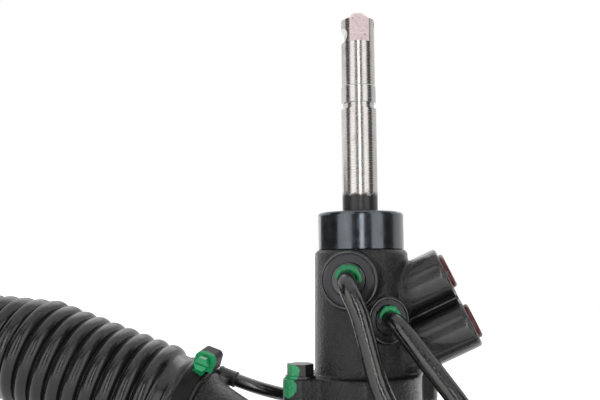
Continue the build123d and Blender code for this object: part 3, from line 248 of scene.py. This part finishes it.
def bumped(tree, shader, *layers):
    """Chain of bump maps, given as (height, distance in metres, strength)."""
    normal = None
    for height, distance, amount in layers:
        made = wire(tree, "Bump", Height=height, Distance=distance, Strength=amount)
        if normal is not None:
            tree.links.new(normal, made.inputs["Normal"])
        normal = made.outputs[0]
    tree.links.new(normal, shader.inputs["Normal"])


def new_finish(name, roughness=0.5, metallic=0.0, specular=0.5, coat=0.0, coat_roughness=0.1):
    """Material with its Principled shader."""
    material = bpy.data.materials.new(name)
    material.use_nodes = True
    shader = material.node_tree.nodes["Principled BSDF"]
    shader.inputs["Roughness"].default_value = roughness
    shader.inputs["Metallic"].default_value = metallic
    shader.inputs["Specular IOR Level"].default_value = specular
    shader.inputs["Coat Weight"].default_value = coat
    shader.inputs["Coat Roughness"].default_value = coat_roughness
    return material, material.node_tree, shader


def reach_along(tree, place, centre, axis):
    """Distance of a place from a centre along an axis."""
    offset = wire(tree, "VectorMath", operation="SUBTRACT", i0=place, i1=tuple(centre)).outputs[0]
    return wire(tree, "VectorMath", operation="DOT_PRODUCT", i0=offset, i1=tuple(axis)).outputs["Value"]


def near_disc(tree, place, centre, axis, radius, depth=0.0014):
    """1 on a flat round face given by centre, outward axis and radius, 0 elsewhere."""
    far = wire(tree, "VectorMath", operation="DISTANCE", i0=place, i1=tuple(centre)).outputs["Value"]
    flat = calc(tree, "GREATER_THAN", reach_along(tree, place, centre, axis), -depth)
    return calc(tree, "MULTIPLY", flat, calc(tree, "LESS_THAN", far, radius))


def paint_daubs(tree, place, daubs, ragged=0.0016):
    """Share of marking paint: 1 inside any of the (centre, radius) daubs, with a ragged edge."""
    wobble = calc(tree, "MULTIPLY", calc(tree, "SUBTRACT", noise(tree, place, 420, 3), 0.5), ragged * 2)
    total = None
    for centre, radius in daubs:
        offset = wire(tree, "VectorMath", operation="DISTANCE", i0=place, i1=tuple(centre)).outputs["Value"]
        inside = ramp(tree, calc(tree, "ADD", offset, wobble), radius + 0.0002, radius - 0.0002)
        total = inside if total is None else calc(tree, "MAXIMUM", total, inside)
    return total


GREEN_DEEP, GREEN_PALE = (0.006, 0.21, 0.07, 1), (0.02, 0.33, 0.13, 1)


def daubed(tree, shader, place, colour, daubs):
    """Adds mottled green marking paint over a colour; returns the paint's share."""
    share = paint_daubs(tree, place, daubs)
    mottled = blend_colours(tree, noise(tree, place, 700, 3), GREEN_DEEP, GREEN_PALE)
    tree.links.new(blend_colours(tree, share, colour, mottled), shader.inputs["Base Color"])
    return share


CAST_DARK, CAST_PALE = (0.0022, 0.0022, 0.0024, 1), (0.0055, 0.0053, 0.0051, 1)
MACHINED = (0.013, 0.012, 0.0165, 1)
HOSE_BOSS_FROM, HOSE_BOSS_TO = 0.024, 0.034      # out from the pinion axis, where the gloss sets in
GRAIN_DEPTH = 0.0011


def casting_finish(name, flats, daubs=()):
    """Black paint on sand-cast iron: grain of the sand, slow mottling and smooth machined faces.
    The paint lies thicker and glossier on the hose bosses, out along u."""
    material, tree, shader = new_finish(name, specular=0.45, coat_roughness=0.12)
    place = place_of(tree)
    grain = noise(tree, place, 900, 3, 0.65)
    lumps = noise(tree, place, 330, 2, 0.5)
    mottling = noise(tree, place, 60, 3)
    machined = 0.0
    for flat in flats:
        machined = calc(tree, "MAXIMUM", machined, near_disc(tree, place, *flat))
    out = reach_along(tree, place, PINION_FOOT, (math.cos(LEAN), 0, math.sin(LEAN)))
    glossy = ramp(tree, out, HOSE_BOSS_FROM, HOSE_BOSS_TO)
    cast = calc(tree, "MULTIPLY", calc(tree, "SUBTRACT", 1.0, machined),
                calc(tree, "MULTIPLY_ADD", glossy, -0.7, 1.0))
    paint = blend_colours(tree, ramp(tree, mottling, 0.35, 0.7), CAST_DARK, CAST_PALE)
    colour = blend_colours(tree, machined, paint, MACHINED)
    if daubs:
        daubed(tree, shader, place, colour, daubs)
    else:
        tree.links.new(colour, shader.inputs["Base Color"])
    rough = calc(tree, "SUBTRACT", ramp(tree, mottling, 0.3, 0.75, 0.24, 0.34),
                 calc(tree, "MULTIPLY", glossy, 0.1))
    rough = calc(tree, "ADD", rough, calc(tree, "MULTIPLY", machined, 0.12))
    tree.links.new(rough, shader.inputs["Roughness"])
    tree.links.new(calc(tree, "MULTIPLY_ADD", glossy, 0.4, 0.12), shader.inputs["Coat Weight"])
    bumped(tree, shader, (calc(tree, "MULTIPLY", lumps, cast), GRAIN_DEPTH, 0.65),
           (calc(tree, "MULTIPLY", grain, cast), GRAIN_DEPTH, 0.85))
    return material


def rounded_copy(name, node, voxel, passes):
    """Copy of a casting with its inside corners filled and edges rounded: the surface is
    resampled on a grid of voxels, then each point moves towards the mean of its neighbours."""
    made = bpy.data.objects.new(name, nodes[node].data.copy())
    bpy.context.scene.collection.objects.link(made)
    weld = made.modifiers.new("weld", "WELD")
    weld.merge_threshold = 1e-6
    remesh = made.modifiers.new("remesh", "REMESH")
    remesh.mode = "VOXEL"
    remesh.voxel_size = voxel
    soften = made.modifiers.new("soften", "SMOOTH")
    soften.factor = 0.5
    soften.iterations = passes
    final = bpy.data.meshes.new_from_object(made.evaluated_get(bpy.context.evaluated_depsgraph_get()))
    made.modifiers.clear()
    made.data = final
    final.name = name
    final.polygons.foreach_set("use_smooth", [True] * len(final.polygons))
    return made


def points_of(piece):
    """Places of a piece's vertices, as rows of x, y and z."""
    co = np.zeros(len(piece.data.vertices) * 3)
    piece.data.vertices.foreach_get("co", co)
    return co.reshape(-1, 3)


def move_points(piece, co):
    """Puts a piece's vertices at new places."""
    piece.data.vertices.foreach_set("co", co.ravel())
    piece.data.update()


def snap_flat(piece, centre, axis, radius, sink=0.0, reach=0.0012):
    """Presses the points close to a machined face back onto it, or into a shallow spot face."""
    co = points_of(piece)
    axis = np.array(axis)
    offset = co - np.array(centre)
    along = offset @ axis
    across = np.linalg.norm(offset - along[:, None] * axis, axis=1)
    near = (np.abs(along) < reach) & (across < radius)
    co[near] -= (along[near, None] + sink) * axis
    move_points(piece, co)


def port_axis(azimuth):
    """Unit vector out of the column at an azimuth from -Y towards the hose ports."""
    a = math.radians(azimuth)
    return np.array([math.sin(a) * math.cos(LEAN), -math.cos(a), math.sin(a) * math.sin(LEAN)])


COLUMN_TOP = 0.1243                              # along the pinion axis, from its foot
UPPER_PORT = (-4.8, 0.0168, 0.032)               # azimuth, drop below the column's top, reach
LOWER_PORT = (35.9, 0.0381, 0.030)
HOSE_OUT, HOSE_DROP, HOSE_SPACING = 0.0471, 0.0128, 0.030
HOSE_RISE = math.radians(25.7)
upper_axis, lower_axis = port_axis(UPPER_PORT[0]), port_axis(LOWER_PORT[0])
upper_face = column_points(0, 0, COLUMN_TOP - UPPER_PORT[1]) + upper_axis * UPPER_PORT[2]
lower_face = column_points(0, 0, COLUMN_TOP - LOWER_PORT[1]) + lower_axis * LOWER_PORT[2]
hose_axis = column_points(math.cos(HOSE_RISE), 0, math.sin(HOSE_RISE)) - column_points(0, 0, 0)
hose_upper = column_points(HOSE_OUT, 0, COLUMN_TOP - HOSE_DROP)
hose_lower = column_points(HOSE_OUT + HOSE_SPACING * math.sin(HOSE_RISE), 0,
                           COLUMN_TOP - HOSE_DROP - HOSE_SPACING * math.cos(HOSE_RISE))
flats = [(upper_face, upper_axis, 0.0139), (lower_face, lower_axis, 0.0110),      # centre, axis, radius
         (hose_upper, hose_axis, 0.0128), (hose_lower, hose_axis, 0.0128)]
SPOT_FACES = (0.0008, 0.0007, 0.0, 0.0)          # how deep each flat is sunk
pinion_line = column_points(0, 0, 1) - column_points(0, 0, 0)
bolt_paint = [(column_points(-0.0355, -0.0285, 0.0585), 0.0054), (column_points(-0.037, -0.030, 0.0515), 0.0058)]

valve_casting = rounded_copy("valve_casting", "valve_housing", 0.0010, 9)
for flat, sink in zip(flats, SPOT_FACES):
    snap_flat(valve_casting, *flat, sink)

BREATHER_LEFT, BREATHER_RIGHT = (0.020, 0.061), (0.012, 0.070)     # y and z of the pipe's ends
STUB_FROM, STUB_TO, STUB_SLIM_R, STUB_R = -0.047, -0.0355, 0.0042, 0.0082


def slim_stub(piece, line):
    """Draws the upper points of the breather stub in to a radius about a line parallel to the rack."""
    co = points_of(piece)
    off = co[:, 1:] - np.array(line)
    far = np.linalg.norm(off, axis=1)
    near = (co[:, 0] > STUB_FROM) & (co[:, 0] < STUB_TO) & (far > STUB_SLIM_R) & (far < STUB_R) & (off[:, 1] > -0.001)
    co[near, 1:] = np.array(line) + off[near] * (STUB_SLIM_R / far[near])[:, None]
    move_points(piece, co)


gear_casting = rounded_copy("gear_casting", "gear_housing", 0.0013, 8)
slim_stub(gear_casting, BREATHER_LEFT)
for casting, node, finish in (
        (valve_casting, "valve_housing", casting_finish("cast_black_valve", flats, bolt_paint)),
        (gear_casting, "gear_housing", casting_finish("cast_black_gear", [], bolt_paint))):
    casting.data.materials.clear()
    casting.data.materials.append(finish)
    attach(casting, "housing")
    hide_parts(node)


def dress(material, *names):
    """Gives CAD nodes their finish."""
    for name in names:
        for place in nodes[name].material_slots:
            place.material = material


dress(casting_finish("cast_black_end", []), "end_fitting", "bottom_cap", "yoke_plug")


# ---- Column cap and seals
# A cap turned from steel bar and pressed into the top of the valve housing, under gloss
# black paint. The dust seal in its bore is moulded rubber, the oil seal sits below it.
def painted_finish(name, dark, pale, roughness, specular=1.0, coat=0.0, ripple=0.00006, daubs=()):
    """Smooth paint over steel: two shades in slow patches, orange-peel ripple, dust specks."""
    material, tree, shader = new_finish(name, roughness, specular=specular, coat=coat, coat_roughness=0.06)
    place = place_of(tree)
    patches = ramp(tree, noise(tree, place, 90, 3), 0.35, 0.7)
    specks = ramp(tree, noise(tree, place, 1500, 2, 0.5), 0.70, 0.78)
    colour = blend_colours(tree, patches, (*dark, 1), (*pale, 1))
    colour = blend_colours(tree, calc(tree, "MULTIPLY", specks, 0.25), colour, (0.16, 0.155, 0.15, 1))
    if daubs:
        share = daubed(tree, shader, place, colour, daubs)
        tree.links.new(ramp(tree, share, 0.0, 1.0, roughness, 0.5), shader.inputs["Roughness"])
    else:
        tree.links.new(colour, shader.inputs["Base Color"])
        uneven = ramp(tree, noise(tree, place, 160, 3), 0.3, 0.75, roughness * 0.8, roughness * 1.35)
        tree.links.new(uneven, shader.inputs["Roughness"])
    bumped(tree, shader, (noise(tree, place, 420, 3), ripple, 0.6))
    return material


def rubber_finish(name, shade, roughness=0.5):
    """Moulded black rubber: fine grain, a grey bloom in patches, faint dust on top."""
    material, tree, shader = new_finish(name, roughness, specular=0.55)
    place = place_of(tree)
    bloom = ramp(tree, noise(tree, place, 70, 4, 0.6), 0.4, 0.75)
    upward = wire(tree, "SeparateXYZ", Vector=wire(tree, "NewGeometry").outputs["Normal"]).outputs["Z"]
    dust = calc(tree, "MULTIPLY", ramp(tree, upward, 0.2, 1.0), ramp(tree, noise(tree, place, 500, 3), 0.4, 0.7))
    colour = blend_colours(tree, bloom, (shade, shade, shade, 1), (shade * 1.9, shade * 1.85, shade * 1.8, 1))
    colour = blend_colours(tree, calc(tree, "MULTIPLY", dust, 0.10), colour, (0.2, 0.195, 0.185, 1))
    tree.links.new(colour, shader.inputs["Base Color"])
    tree.links.new(ramp(tree, bloom, 0.0, 1.0, roughness * 0.8, roughness * 1.25), shader.inputs["Roughness"])
    bumped(tree, shader, (noise(tree, place, 900, 3), 0.0001, 0.5))
    return material


BLUE_REFLECTION_TINT = (0.78, 0.89, 1.0, 1.0)      # painted blue cast of the light in the cap's reflections
gloss_black = painted_finish("gloss_black", (0.003, 0.003, 0.0035), (0.006, 0.006, 0.007), 0.2, coat=0.35)
gloss_black.node_tree.nodes["Principled BSDF"].inputs["Specular Tint"].default_value = BLUE_REFLECTION_TINT
dress(gloss_black, "column_cap")
rubber = rubber_finish("boot_rubber", 0.011)
dress(rubber, "dust_seal", "oil_seal", "rack_seals", "mount_bushes", "bracket_rubber")


# ---- Input shaft
# Turned and ground steel bar with a clamp flat, a bolt notch and a ring groove for the column
# joint, and the torsion bar pinned in its tip. Bare metal, but black overspray where it enters.
# The flat and the tip's chamfer carry a painted reflection: light pink and half matt.
def along_axis(tree, place):
    """Distance along the pinion axis, in metres from its foot."""
    return reach_along(tree, place, PINION_FOOT, pinion_line)


def line_noise(tree, along, scale, detail=2.0):
    """Noise that changes along one line only, as lathe marks do."""
    return wire(tree, "TexNoise", noise_dimensions="1D", W=along, Scale=scale, Detail=detail).outputs["Fac"]


CHAMFER_DEPTH, CHAMFER_FROM = 0.0021, 0.0136      # of the tip: below the flat, and beyond its lower end
# light pink on the milled flat and the tip's chamfer is a painted reflection; the dark scratches sit over it
FLAT_REFLECTION_PINK, FLAT_SCRATCH = (0.70, 0.575, 0.575, 1), (0.10, 0.04, 0.05, 1)
OVERSPRAY = (0.011, 0.010, 0.010, 1)


def steel_finish(name, colour, worn, roughness, along=None, overspray=None, flat=None):
    """Bare steel: lathe marks along a line, which is X unless a function gives it, stains in
    patches and fine pits; optional black overspray up to an end, and a milled flat given by a
    point on it, its axis and where it starts along the line."""
    material, tree, shader = new_finish(name, roughness, metallic=1.0)
    place = place_of(tree)
    line = along(tree, place) if along else wire(tree, "SeparateXYZ", Vector=place).outputs["X"]
    marks = line_noise(tree, line, 2600, 3)
    stains = ramp(tree, noise(tree, place, 130, 4, 0.6), 0.45, 0.75)
    pits = ramp(tree, noise(tree, place, 1100, 2), 0.68, 0.76)
    metal = blend_colours(tree, calc(tree, "MULTIPLY", stains, 0.5), (*colour, 1), (*worn, 1))
    metal = blend_colours(tree, calc(tree, "MULTIPLY", pits, 0.45), metal, (0.12, 0.10, 0.09, 1))
    rough = ramp(tree, marks, 0.3, 0.7, roughness * 0.75, roughness * 1.3)
    if flat:
        middle, axis, start = flat
        height = reach_along(tree, place, middle, axis)
        near = calc(tree, "COMPARE", height, 0.0, 0.00012)
        near = calc(tree, "MULTIPLY", near, calc(tree, "GREATER_THAN", line, start))
        tip = calc(tree, "MULTIPLY", calc(tree, "GREATER_THAN", height, -CHAMFER_DEPTH),
                   calc(tree, "GREATER_THAN", line, start + CHAMFER_FROM))
        near = calc(tree, "MAXIMUM", near, tip)
        # painted reflection: the flat and the chamfer get a light pink, half-matt colour with dark scratches
        scratches = ramp(tree, noise(tree, place, 900, 3, 0.7, 1.2), 0.60, 0.66)
        milled = blend_colours(tree, scratches, FLAT_REFLECTION_PINK, FLAT_SCRATCH)
        metal = blend_colours(tree, near, metal, milled)
        tree.links.new(calc(tree, "SUBTRACT", 1.0, calc(tree, "MULTIPLY", near, 0.7)), shader.inputs["Metallic"])
    if overspray:
        end, width = overspray
        ragged = calc(tree, "MULTIPLY", calc(tree, "SUBTRACT", noise(tree, place, 330, 4, 0.6), 0.5), 2 * width)
        paint = ramp(tree, calc(tree, "ADD", line, ragged), end + 0.0012, end - 0.0012)
        metal = blend_colours(tree, paint, metal, OVERSPRAY)
        bare = calc(tree, "SUBTRACT", 1.0, calc(tree, "MAXIMUM", paint, calc(tree, "MULTIPLY", near, 0.7)))
        tree.links.new(bare, shader.inputs["Metallic"])
        rough = calc(tree, "ADD", rough, calc(tree, "MULTIPLY", paint, 0.12))
    tree.links.new(metal, shader.inputs["Base Color"])
    tree.links.new(rough, shader.inputs["Roughness"])
    bumped(tree, shader, (marks, 0.00004, 0.6), (noise(tree, place, 900, 3), 0.00002, 0.5))
    return material


SHAFT_TIP, FLAT_LENGTH, FLAT_OUT, FLAT_TURN = 0.2595, 0.0168, 0.007825, math.radians(15)
SPRAYED_TO, SPRAY_WIDTH = 0.1555, 0.004
flat_axis = column_points(math.sin(FLAT_TURN), -math.cos(FLAT_TURN), 0) - column_points(0, 0, 0)
shaft_flat = (column_points(0, 0, SHAFT_TIP - 0.008) + flat_axis * FLAT_OUT, flat_axis, SHAFT_TIP - FLAT_LENGTH)
dress(steel_finish("shaft_steel", (0.46, 0.44, 0.425), (0.30, 0.265, 0.245), 0.23, along_axis,
                   (SPRAYED_TO, SPRAY_WIDTH), shaft_flat), "input_shaft")
ground_steel = steel_finish("ground_steel", (0.50, 0.49, 0.48), (0.36, 0.33, 0.31), 0.24, along_axis)
dress(ground_steel, "torsion_bar", "torsion_pin", "pinion", "pinion_nut", "valve_sleeve", "needle_bearing",
      "bearing_inner_race", "bearing_outer_race", "bearing_balls", "bearing_cage", "pinion_bush")


# ---- Pipes, nuts and plugs
# Two bent steel tubes carry oil from the valve ports to the ends of the cylinder. They are
# held by tube nuts and painted with the gear; the hose ports are shut by red push-in plugs.
pipe_black = painted_finish("pipe_black", (0.004, 0.0036, 0.0033), (0.011, 0.0095, 0.0085), 0.2, specular=0.8,
                            ripple=0.0003)
dress(pipe_black, "transfer_pipe_near", "transfer_pipe_far")
dress(painted_finish("nut_black", (0.008, 0.008, 0.008), (0.018, 0.017, 0.016), 0.32), "tube_nuts")
green_finish = painted_finish("marked_green", (0.004, 0.17, 0.055), (0.012, 0.30, 0.11), 0.3, specular=0.5,
                              ripple=0.0003)


SECTION_POINTS = 16


def ring_bead(name, centre, axis, ring, thick, middle=0.0, sweep=360.0, uneven=0.0):
    """Rounded bead on a ring about an axis: section = oval of half-width thick. A bead that isn't
    a full ring fades at both ends with the square root of sine, and may be uneven along it."""
    up, side = pinion_line, np.cross(pinion_line, axis)
    full = sweep >= 360.0
    t = np.linspace(0.0, 1.0, 72 if full else 40, endpoint=not full)[:, None]
    angle = np.radians(middle + sweep * (t - 0.5))
    out = np.cos(angle)[..., None] * up + np.sin(angle)[..., None] * side
    around = np.linspace(0, 2 * np.pi, SECTION_POINTS, endpoint=False)[None, :]
    fade = 1.0 if full else np.sqrt(np.clip(np.sin(np.pi * t), 0.0004, 1))
    size = thick * fade * (1 + uneven * (np.sin(23 * t) + 0.7 * np.sin(41 * t)))
    points = np.array(centre) + out * (ring + size * np.cos(around))[..., None] \
        + np.array(axis) * (0.75 * size * np.sin(around))[..., None]
    faces = [list(f) for f in shell_grid(points, closed_u=full, closed_v=True)[:, ::-1]]
    rim = np.arange(SECTION_POINTS)
    ends = [] if full else [list(rim[::-1]), list(rim + SECTION_POINTS * (len(t) - 1))]
    bead = add_mesh(name, points, faces + ends)
    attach(bead, "housing")
    return bead


for lacquer in (("lacquer_upper", upper_face + upper_axis * 0.0009, upper_axis, 0.0063, 0.0021, 8, 190, 0.12),
                ("lacquer_lower", lower_face + lower_axis * 0.0008, lower_axis, 0.0061, 0.0018, 4, 165, 0.12)):
    bead = ring_bead(*lacquer)
    bead.data.materials.append(green_finish)
rim_finish = painted_finish("rim_black", (0.006, 0.006, 0.0065), (0.013, 0.0125, 0.013), 0.24, specular=0.8,
                            ripple=0.0003)
for rim in (("port_rim_upper", upper_face - upper_axis * 0.0002, upper_axis, 0.01475, 0.00085),
            ("port_rim_lower", lower_face - lower_axis * 0.0002, lower_axis, 0.01175, 0.00075)):
    bead = ring_bead(*rim)
    bead.data.materials.append(rim_finish)


def plastic_finish(name, dark, pale, roughness):
    """Moulded plastic: faint flow marks, fine matt grain."""
    material, tree, shader = new_finish(name, roughness, specular=0.5)
    place = place_of(tree)
    flow = ramp(tree, noise(tree, place, 120, 3, 0.6, 1.5), 0.3, 0.75)
    tree.links.new(blend_colours(tree, flow, (*dark, 1), (*pale, 1)), shader.inputs["Base Color"])
    tree.links.new(ramp(tree, flow, 0.0, 1.0, roughness * 0.85, roughness * 1.2), shader.inputs["Roughness"])
    bumped(tree, shader, (noise(tree, place, 1400, 2), 0.00003, 0.5))
    return material


dress(plastic_finish("plug_red", (0.055, 0.004, 0.005), (0.10, 0.008, 0.009), 0.3), "hose_port_plugs")
dress(plastic_finish("liner_plastic", (0.42, 0.40, 0.34), (0.55, 0.53, 0.46), 0.45),
      "yoke_liner", "piston_ring", "sleeve_rings", "ball_seat_left", "ball_seat_right")


# ---- Flange bolts, cylinder and mounts
# Two bolts hold the valve housing on the gear housing. The cylinder is drawn steel tube
# under the same paint, with welded port bosses; bonded bushes take the frame bolts.
bolt_black = painted_finish("bolt_black", (0.007, 0.007, 0.007), (0.016, 0.0155, 0.015), 0.34, specular=0.6,
                            daubs=bolt_paint)
dress(bolt_black, "flange_bolts", "flange_washers", "yoke_lock_nut")
dress(plastic_finish("gasket_grey", (0.018, 0.018, 0.019), (0.035, 0.034, 0.033), 0.6), "column_gasket")
dress(painted_finish("tube_black", (0.007, 0.007, 0.0075), (0.014, 0.014, 0.0145), 0.24, coat=0.2),
      "cylinder_tube", "cylinder_port_bosses", "tube_bracket", "breather_pipe")


# ---- Breather sleeves
# Short sleeves of moulded rubber push over the ends of the breather pipe, which joins the
# air spaces of the two boots.
def turned_about_x(name, x, r, line, around):
    """Skin of a closed profile (x, r) turned about a line parallel to the rack, given by y and z."""
    turn = np.linspace(0, 2 * np.pi, around, endpoint=False)[:, None]
    points = np.stack([np.broadcast_to(x, (around, len(x))), line[0] + np.cos(turn) * r,
                       line[1] + np.sin(turn) * r], -1)
    area = np.sum(x * np.roll(r, -1) - np.roll(x, -1) * r)      # above 0 where the profile runs the wrong way
    faces = shell_grid(points, closed_u=True, closed_v=True)
    return add_mesh(name, points, faces[:, ::-1] if area > 0 else faces)


SLEEVE_X = np.array([0.0, 0.0, 0.0006, 0.0016, 0.0023, 0.0100, 0.0109, 0.0115, 0.0115])
SLEEVE_R = np.array([0.0037, 0.0043, 0.0047, 0.0047, 0.0044, 0.0044, 0.0047, 0.0043, 0.0037])
for hand, start, line in (("left", -0.0475, BREATHER_LEFT), ("right", 0.3985, BREATHER_RIGHT)):
    sleeve = turned_about_x(f"breather_sleeve_{hand}", start + SLEEVE_X, SLEEVE_R, line, 40)
    sleeve.data.materials.append(rubber)
    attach(sleeve, "housing")


# ---- Bare and phosphated steel of the mounts, the rack and its joints
# Zinc-plated spacers and nuts, a ground rack with its piston and glands, an alloy yoke and
# black phosphated inner joints.
dress(steel_finish("zinc_steel", (0.52, 0.51, 0.47), (0.36, 0.34, 0.28), 0.33),
      "mount_sleeves", "jam_nut_left", "jam_nut_right", "boot_clip_left", "boot_clip_right")
dress(steel_finish("rack_steel", (0.50, 0.49, 0.48), (0.33, 0.30, 0.28), 0.2),
      "rack_bar", "piston", "piston_snap_rings", "inner_gland", "end_bush", "yoke_springs")
dress(steel_finish("yoke_alloy", (0.66, 0.66, 0.66), (0.5, 0.5, 0.5), 0.35), "support_yoke")
joint_black = painted_finish("joint_black", (0.028, 0.028, 0.031), (0.05, 0.049, 0.052), 0.42, specular=0.7)
dress(joint_black, "inner_sockets")


# ---- Boots
# Bellows blow-moulded from black rubber. The wide cuff is clamped on the seat of the housing
# end, the narrow one grips the tie rod.
RING_PITCH, RING_COUNT, TAPER_RINGS, CUFF_LENGTH = 0.0096, 15, 6, 0.0225
RING_R, VALLEY_R, CUFF_R, SMALL_CUFF_R = 0.033, 0.0276, 0.0296, 0.0095
BOOT_WALL, BOOT_SEAT_R, ROD_BORE = 0.002, 0.02702, 0.0073
LAST_STEP = 0.006                    # from the last ring down to the small cuff
RING_POINTS, BOOT_AROUND = 16, 120   # along each ring, and round it
CUFF_BEAD_S = (0.0, 0.0002, 0.0008, 0.0016, 0.012, 0.0128, 0.0136, 0.0148, 0.0156, 0.0164, 0.0204)
CUFF_BEAD_R = (-0.0012, -0.0004, 0.0, 0.0, 0.0, 0.0005, 0.0008, 0.0008, 0.0005, 0.0, 0.0)
TAIL_S = (0.0010, 0.0020, 0.0030, 0.0042, 0.0112, 0.0124, 0.0130)
TAIL_R = (0.0030, 0.0008, 0.0001, 0.0, 0.0, -0.0001, -0.0007)


def ring_drop(k):
    """How much smaller than the first ring the ring or valley k is: the last rings taper in a line."""
    return (CUFF_R - SMALL_CUFF_R - LAST_STEP) * np.clip((k - (RING_COUNT - 1 - TAPER_RINGS)) / TAPER_RINGS, 0, 1)


def ring_radius(s, steps=0.42):
    """Outer radius at a distance s from the wide end: each ring swells from one valley to the
    next as sin(pi t) to a power, on valleys that run in a straight line between rings."""
    t = (s - CUFF_LENGTH) / RING_PITCH
    k = np.clip(np.floor(t + 1e-6), 0, RING_COUNT - 1)
    part = np.clip(t - k, 0, 1)
    before = np.where(k > 0, VALLEY_R - ring_drop(k - 1), CUFF_R)
    valley = before + (VALLEY_R - ring_drop(k) - before) * part
    peak = RING_R - ring_drop(k)
    return valley + (peak - valley) * np.sin(np.pi * part) ** steps


def boot_shell(name, x0, side, first, last, wide, narrow):
    """One stretch of the bellows, turned about the rack axis: the outer profile from ring first
    to ring last goes out, the same profile less the wall comes back, and the ends are closed."""
    s = CUFF_LENGTH + RING_PITCH * (first + np.arange((last - first) * RING_POINTS + 1) / RING_POINTS)
    s_out, s_in = s, s
    outer, inner = ring_radius(s), ring_radius(s) - BOOT_WALL
    if wide:
        s_out, outer = np.concatenate([CUFF_BEAD_S, s]), np.concatenate([CUFF_R + np.array(CUFF_BEAD_R), outer])
        s_in, inner = np.concatenate([[0.0, 0.0195], s]), np.concatenate([[BOOT_SEAT_R] * 2, inner])
    if narrow:
        s_out = np.concatenate([s_out, s[-1] + np.array(TAIL_S)])
        outer = np.concatenate([outer, SMALL_CUFF_R + np.array(TAIL_R)])
        s_in = np.concatenate([s_in, s[-1] + np.array([0.0020, 0.0128])])
        inner = np.concatenate([inner, [ROD_BORE] * 2])
    profile_s = np.concatenate([s_out, s_in[::-1]])
    profile_r = np.concatenate([outer, inner[::-1]])
    return turned_about_x(name, x0 + side * profile_s, profile_r, (0.0, PINION_FOOT[2]), BOOT_AROUND)


bellows_rubber = rubber_finish("bellows_rubber", 0.004, 0.27)
for hand, x0, side in (("left", -0.045, -1), ("right", 0.415, 1)):
    # points on the rack axis, by their distance from the wide end
    wide = boot_shell(f"boot_{hand}_wide", x0, side, 0, 10, True, False)
    middle = boot_shell(f"boot_{hand}_middle", x0, side, 10, 11, False, False)
    narrow = boot_shell(f"boot_{hand}_narrow", x0, side, 11, RING_COUNT, False, True)
    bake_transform(wide)
    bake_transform(middle)
    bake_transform(narrow)
    for piece in (wide, middle, narrow):
        piece.data.materials.append(bellows_rubber)
        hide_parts(f"boot_{hand}")


# ---- Boot clamps
# Worm-drive bands of black steel strip hold the wide cuffs. The screw head stands out of its
# pressed housing and carries the same green mark as the nuts.
clamp_marks = [((-0.0490, -0.0135, 0.0715), 0.0072)]
clamp_black = painted_finish("clamp_black", (0.006, 0.006, 0.006), (0.013, 0.0125, 0.012), 0.45, specular=0.12,
                             daubs=clamp_marks)
dress(clamp_black, "boot_clamp_housings", "boot_clamp_bands")
dress(green_finish, "boot_clamp_screws")


# ---- Tie rods
# Forged and turned bars with a ball in the inner joint, spanner flats and a rolled metric
# thread for the outer joint, in black phosphate.
ROD_R, SHANK_R, FLAT_R, NECK_R, BALL_R = 0.007, 0.008, 0.0082, 0.0055, 0.011
ROD_LENGTH, THREAD_LENGTH, THREAD_PITCH, THREAD_DEPTH = 0.235, 0.060, 0.0015, 0.0008
THREAD_START, END_CHAMFER = ROD_LENGTH - THREAD_LENGTH, 0.0015
FLAT_MIDDLE, FLAT_REACH, FLAT_HALF = THREAD_START - 0.014, 0.006, 0.0076      # of the spanner flats
ROD_AROUND, BALL_POINTS, SHANK_POINTS, THREAD_POINTS = 40, 26, 140, 8
# the lathe profile: distances from the ball's centre, and the radius at each
ROD_S = (0.0095, 0.015, 0.024, 0.066, 0.068, THREAD_START - 0.024, THREAD_START - 0.022,
         THREAD_START - 0.006, THREAD_START - 0.004, ROD_LENGTH - END_CHAMFER, ROD_LENGTH)
ROD_PROFILE = (NECK_R, NECK_R, SHANK_R, SHANK_R, ROD_R, ROD_R, FLAT_R, FLAT_R, ROD_R, ROD_R, ROD_R - END_CHAMFER)


def rod_radius(s, turn):
    """Radius of the rod at a distance s from the ball's centre and an angle: a lathe profile,
    less a triangle wave of s / pitch + angle / full turn where the thread is."""
    plain = np.interp(s, ROD_S, ROD_PROFILE)
    wave = np.abs(2 * np.mod(s / THREAD_PITCH + turn / (2 * np.pi), 1.0) - 1)
    cut = np.clip((s - THREAD_START) / 0.002, 0, 1) * THREAD_DEPTH * np.clip(1.25 * wave, 0, 1)
    return np.where(s > THREAD_START, np.minimum(plain, ROD_R - cut), plain)


def tie_rod_mesh(name, x0, side):
    """Ball and rod in one skin: the ball is an arc of radius, height (r sin a, -r cos a), the rod
    follows rod_radius, and its spanner flats cap the width at a plane each side."""
    arc = np.linspace(0.03, np.pi - math.asin(NECK_R / BALL_R), BALL_POINTS)
    thread_steps = round(THREAD_LENGTH / THREAD_PITCH) * THREAD_POINTS
    rod = np.concatenate([np.linspace(0.0100, THREAD_START, SHANK_POINTS, endpoint=False),
                          np.linspace(THREAD_START, ROD_LENGTH, thread_steps + 1)])
    turn = np.linspace(0, 2 * np.pi, ROD_AROUND, endpoint=False)[:, None]
    s = np.concatenate([-BALL_R * np.cos(arc), rod, [ROD_LENGTH]])
    radius = np.concatenate([np.broadcast_to(BALL_R * np.sin(arc), (ROD_AROUND, BALL_POINTS)),
                             rod_radius(rod, turn), np.full((ROD_AROUND, 1), 0.0002)], 1)
    y = np.cos(turn) * radius
    y = np.where(np.abs(s - FLAT_MIDDLE) < FLAT_REACH, np.clip(y, -FLAT_HALF, FLAT_HALF), y)
    points = np.stack([np.broadcast_to(x0 + side * s, y.shape), y, PINION_FOOT[2] + np.sin(turn) * radius], -1)
    rim = np.arange(ROD_AROUND) * len(s)
    faces = [list(f) for f in shell_grid(points)] + [list(rim[::-1]), list(rim + len(s) - 1)]
    return add_mesh(name, points, [f[::-1] for f in faces] if side < 0 else faces)


for hand, ball_x, side in (("left", -0.144, -1), ("right", 0.514, 1)):
    rod = tie_rod_mesh(f"rod_{hand}", ball_x, side)
    rod.data.materials.append(joint_black)
    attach(rod, f"{hand}_rod")
    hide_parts(f"tie_rod_{hand}")
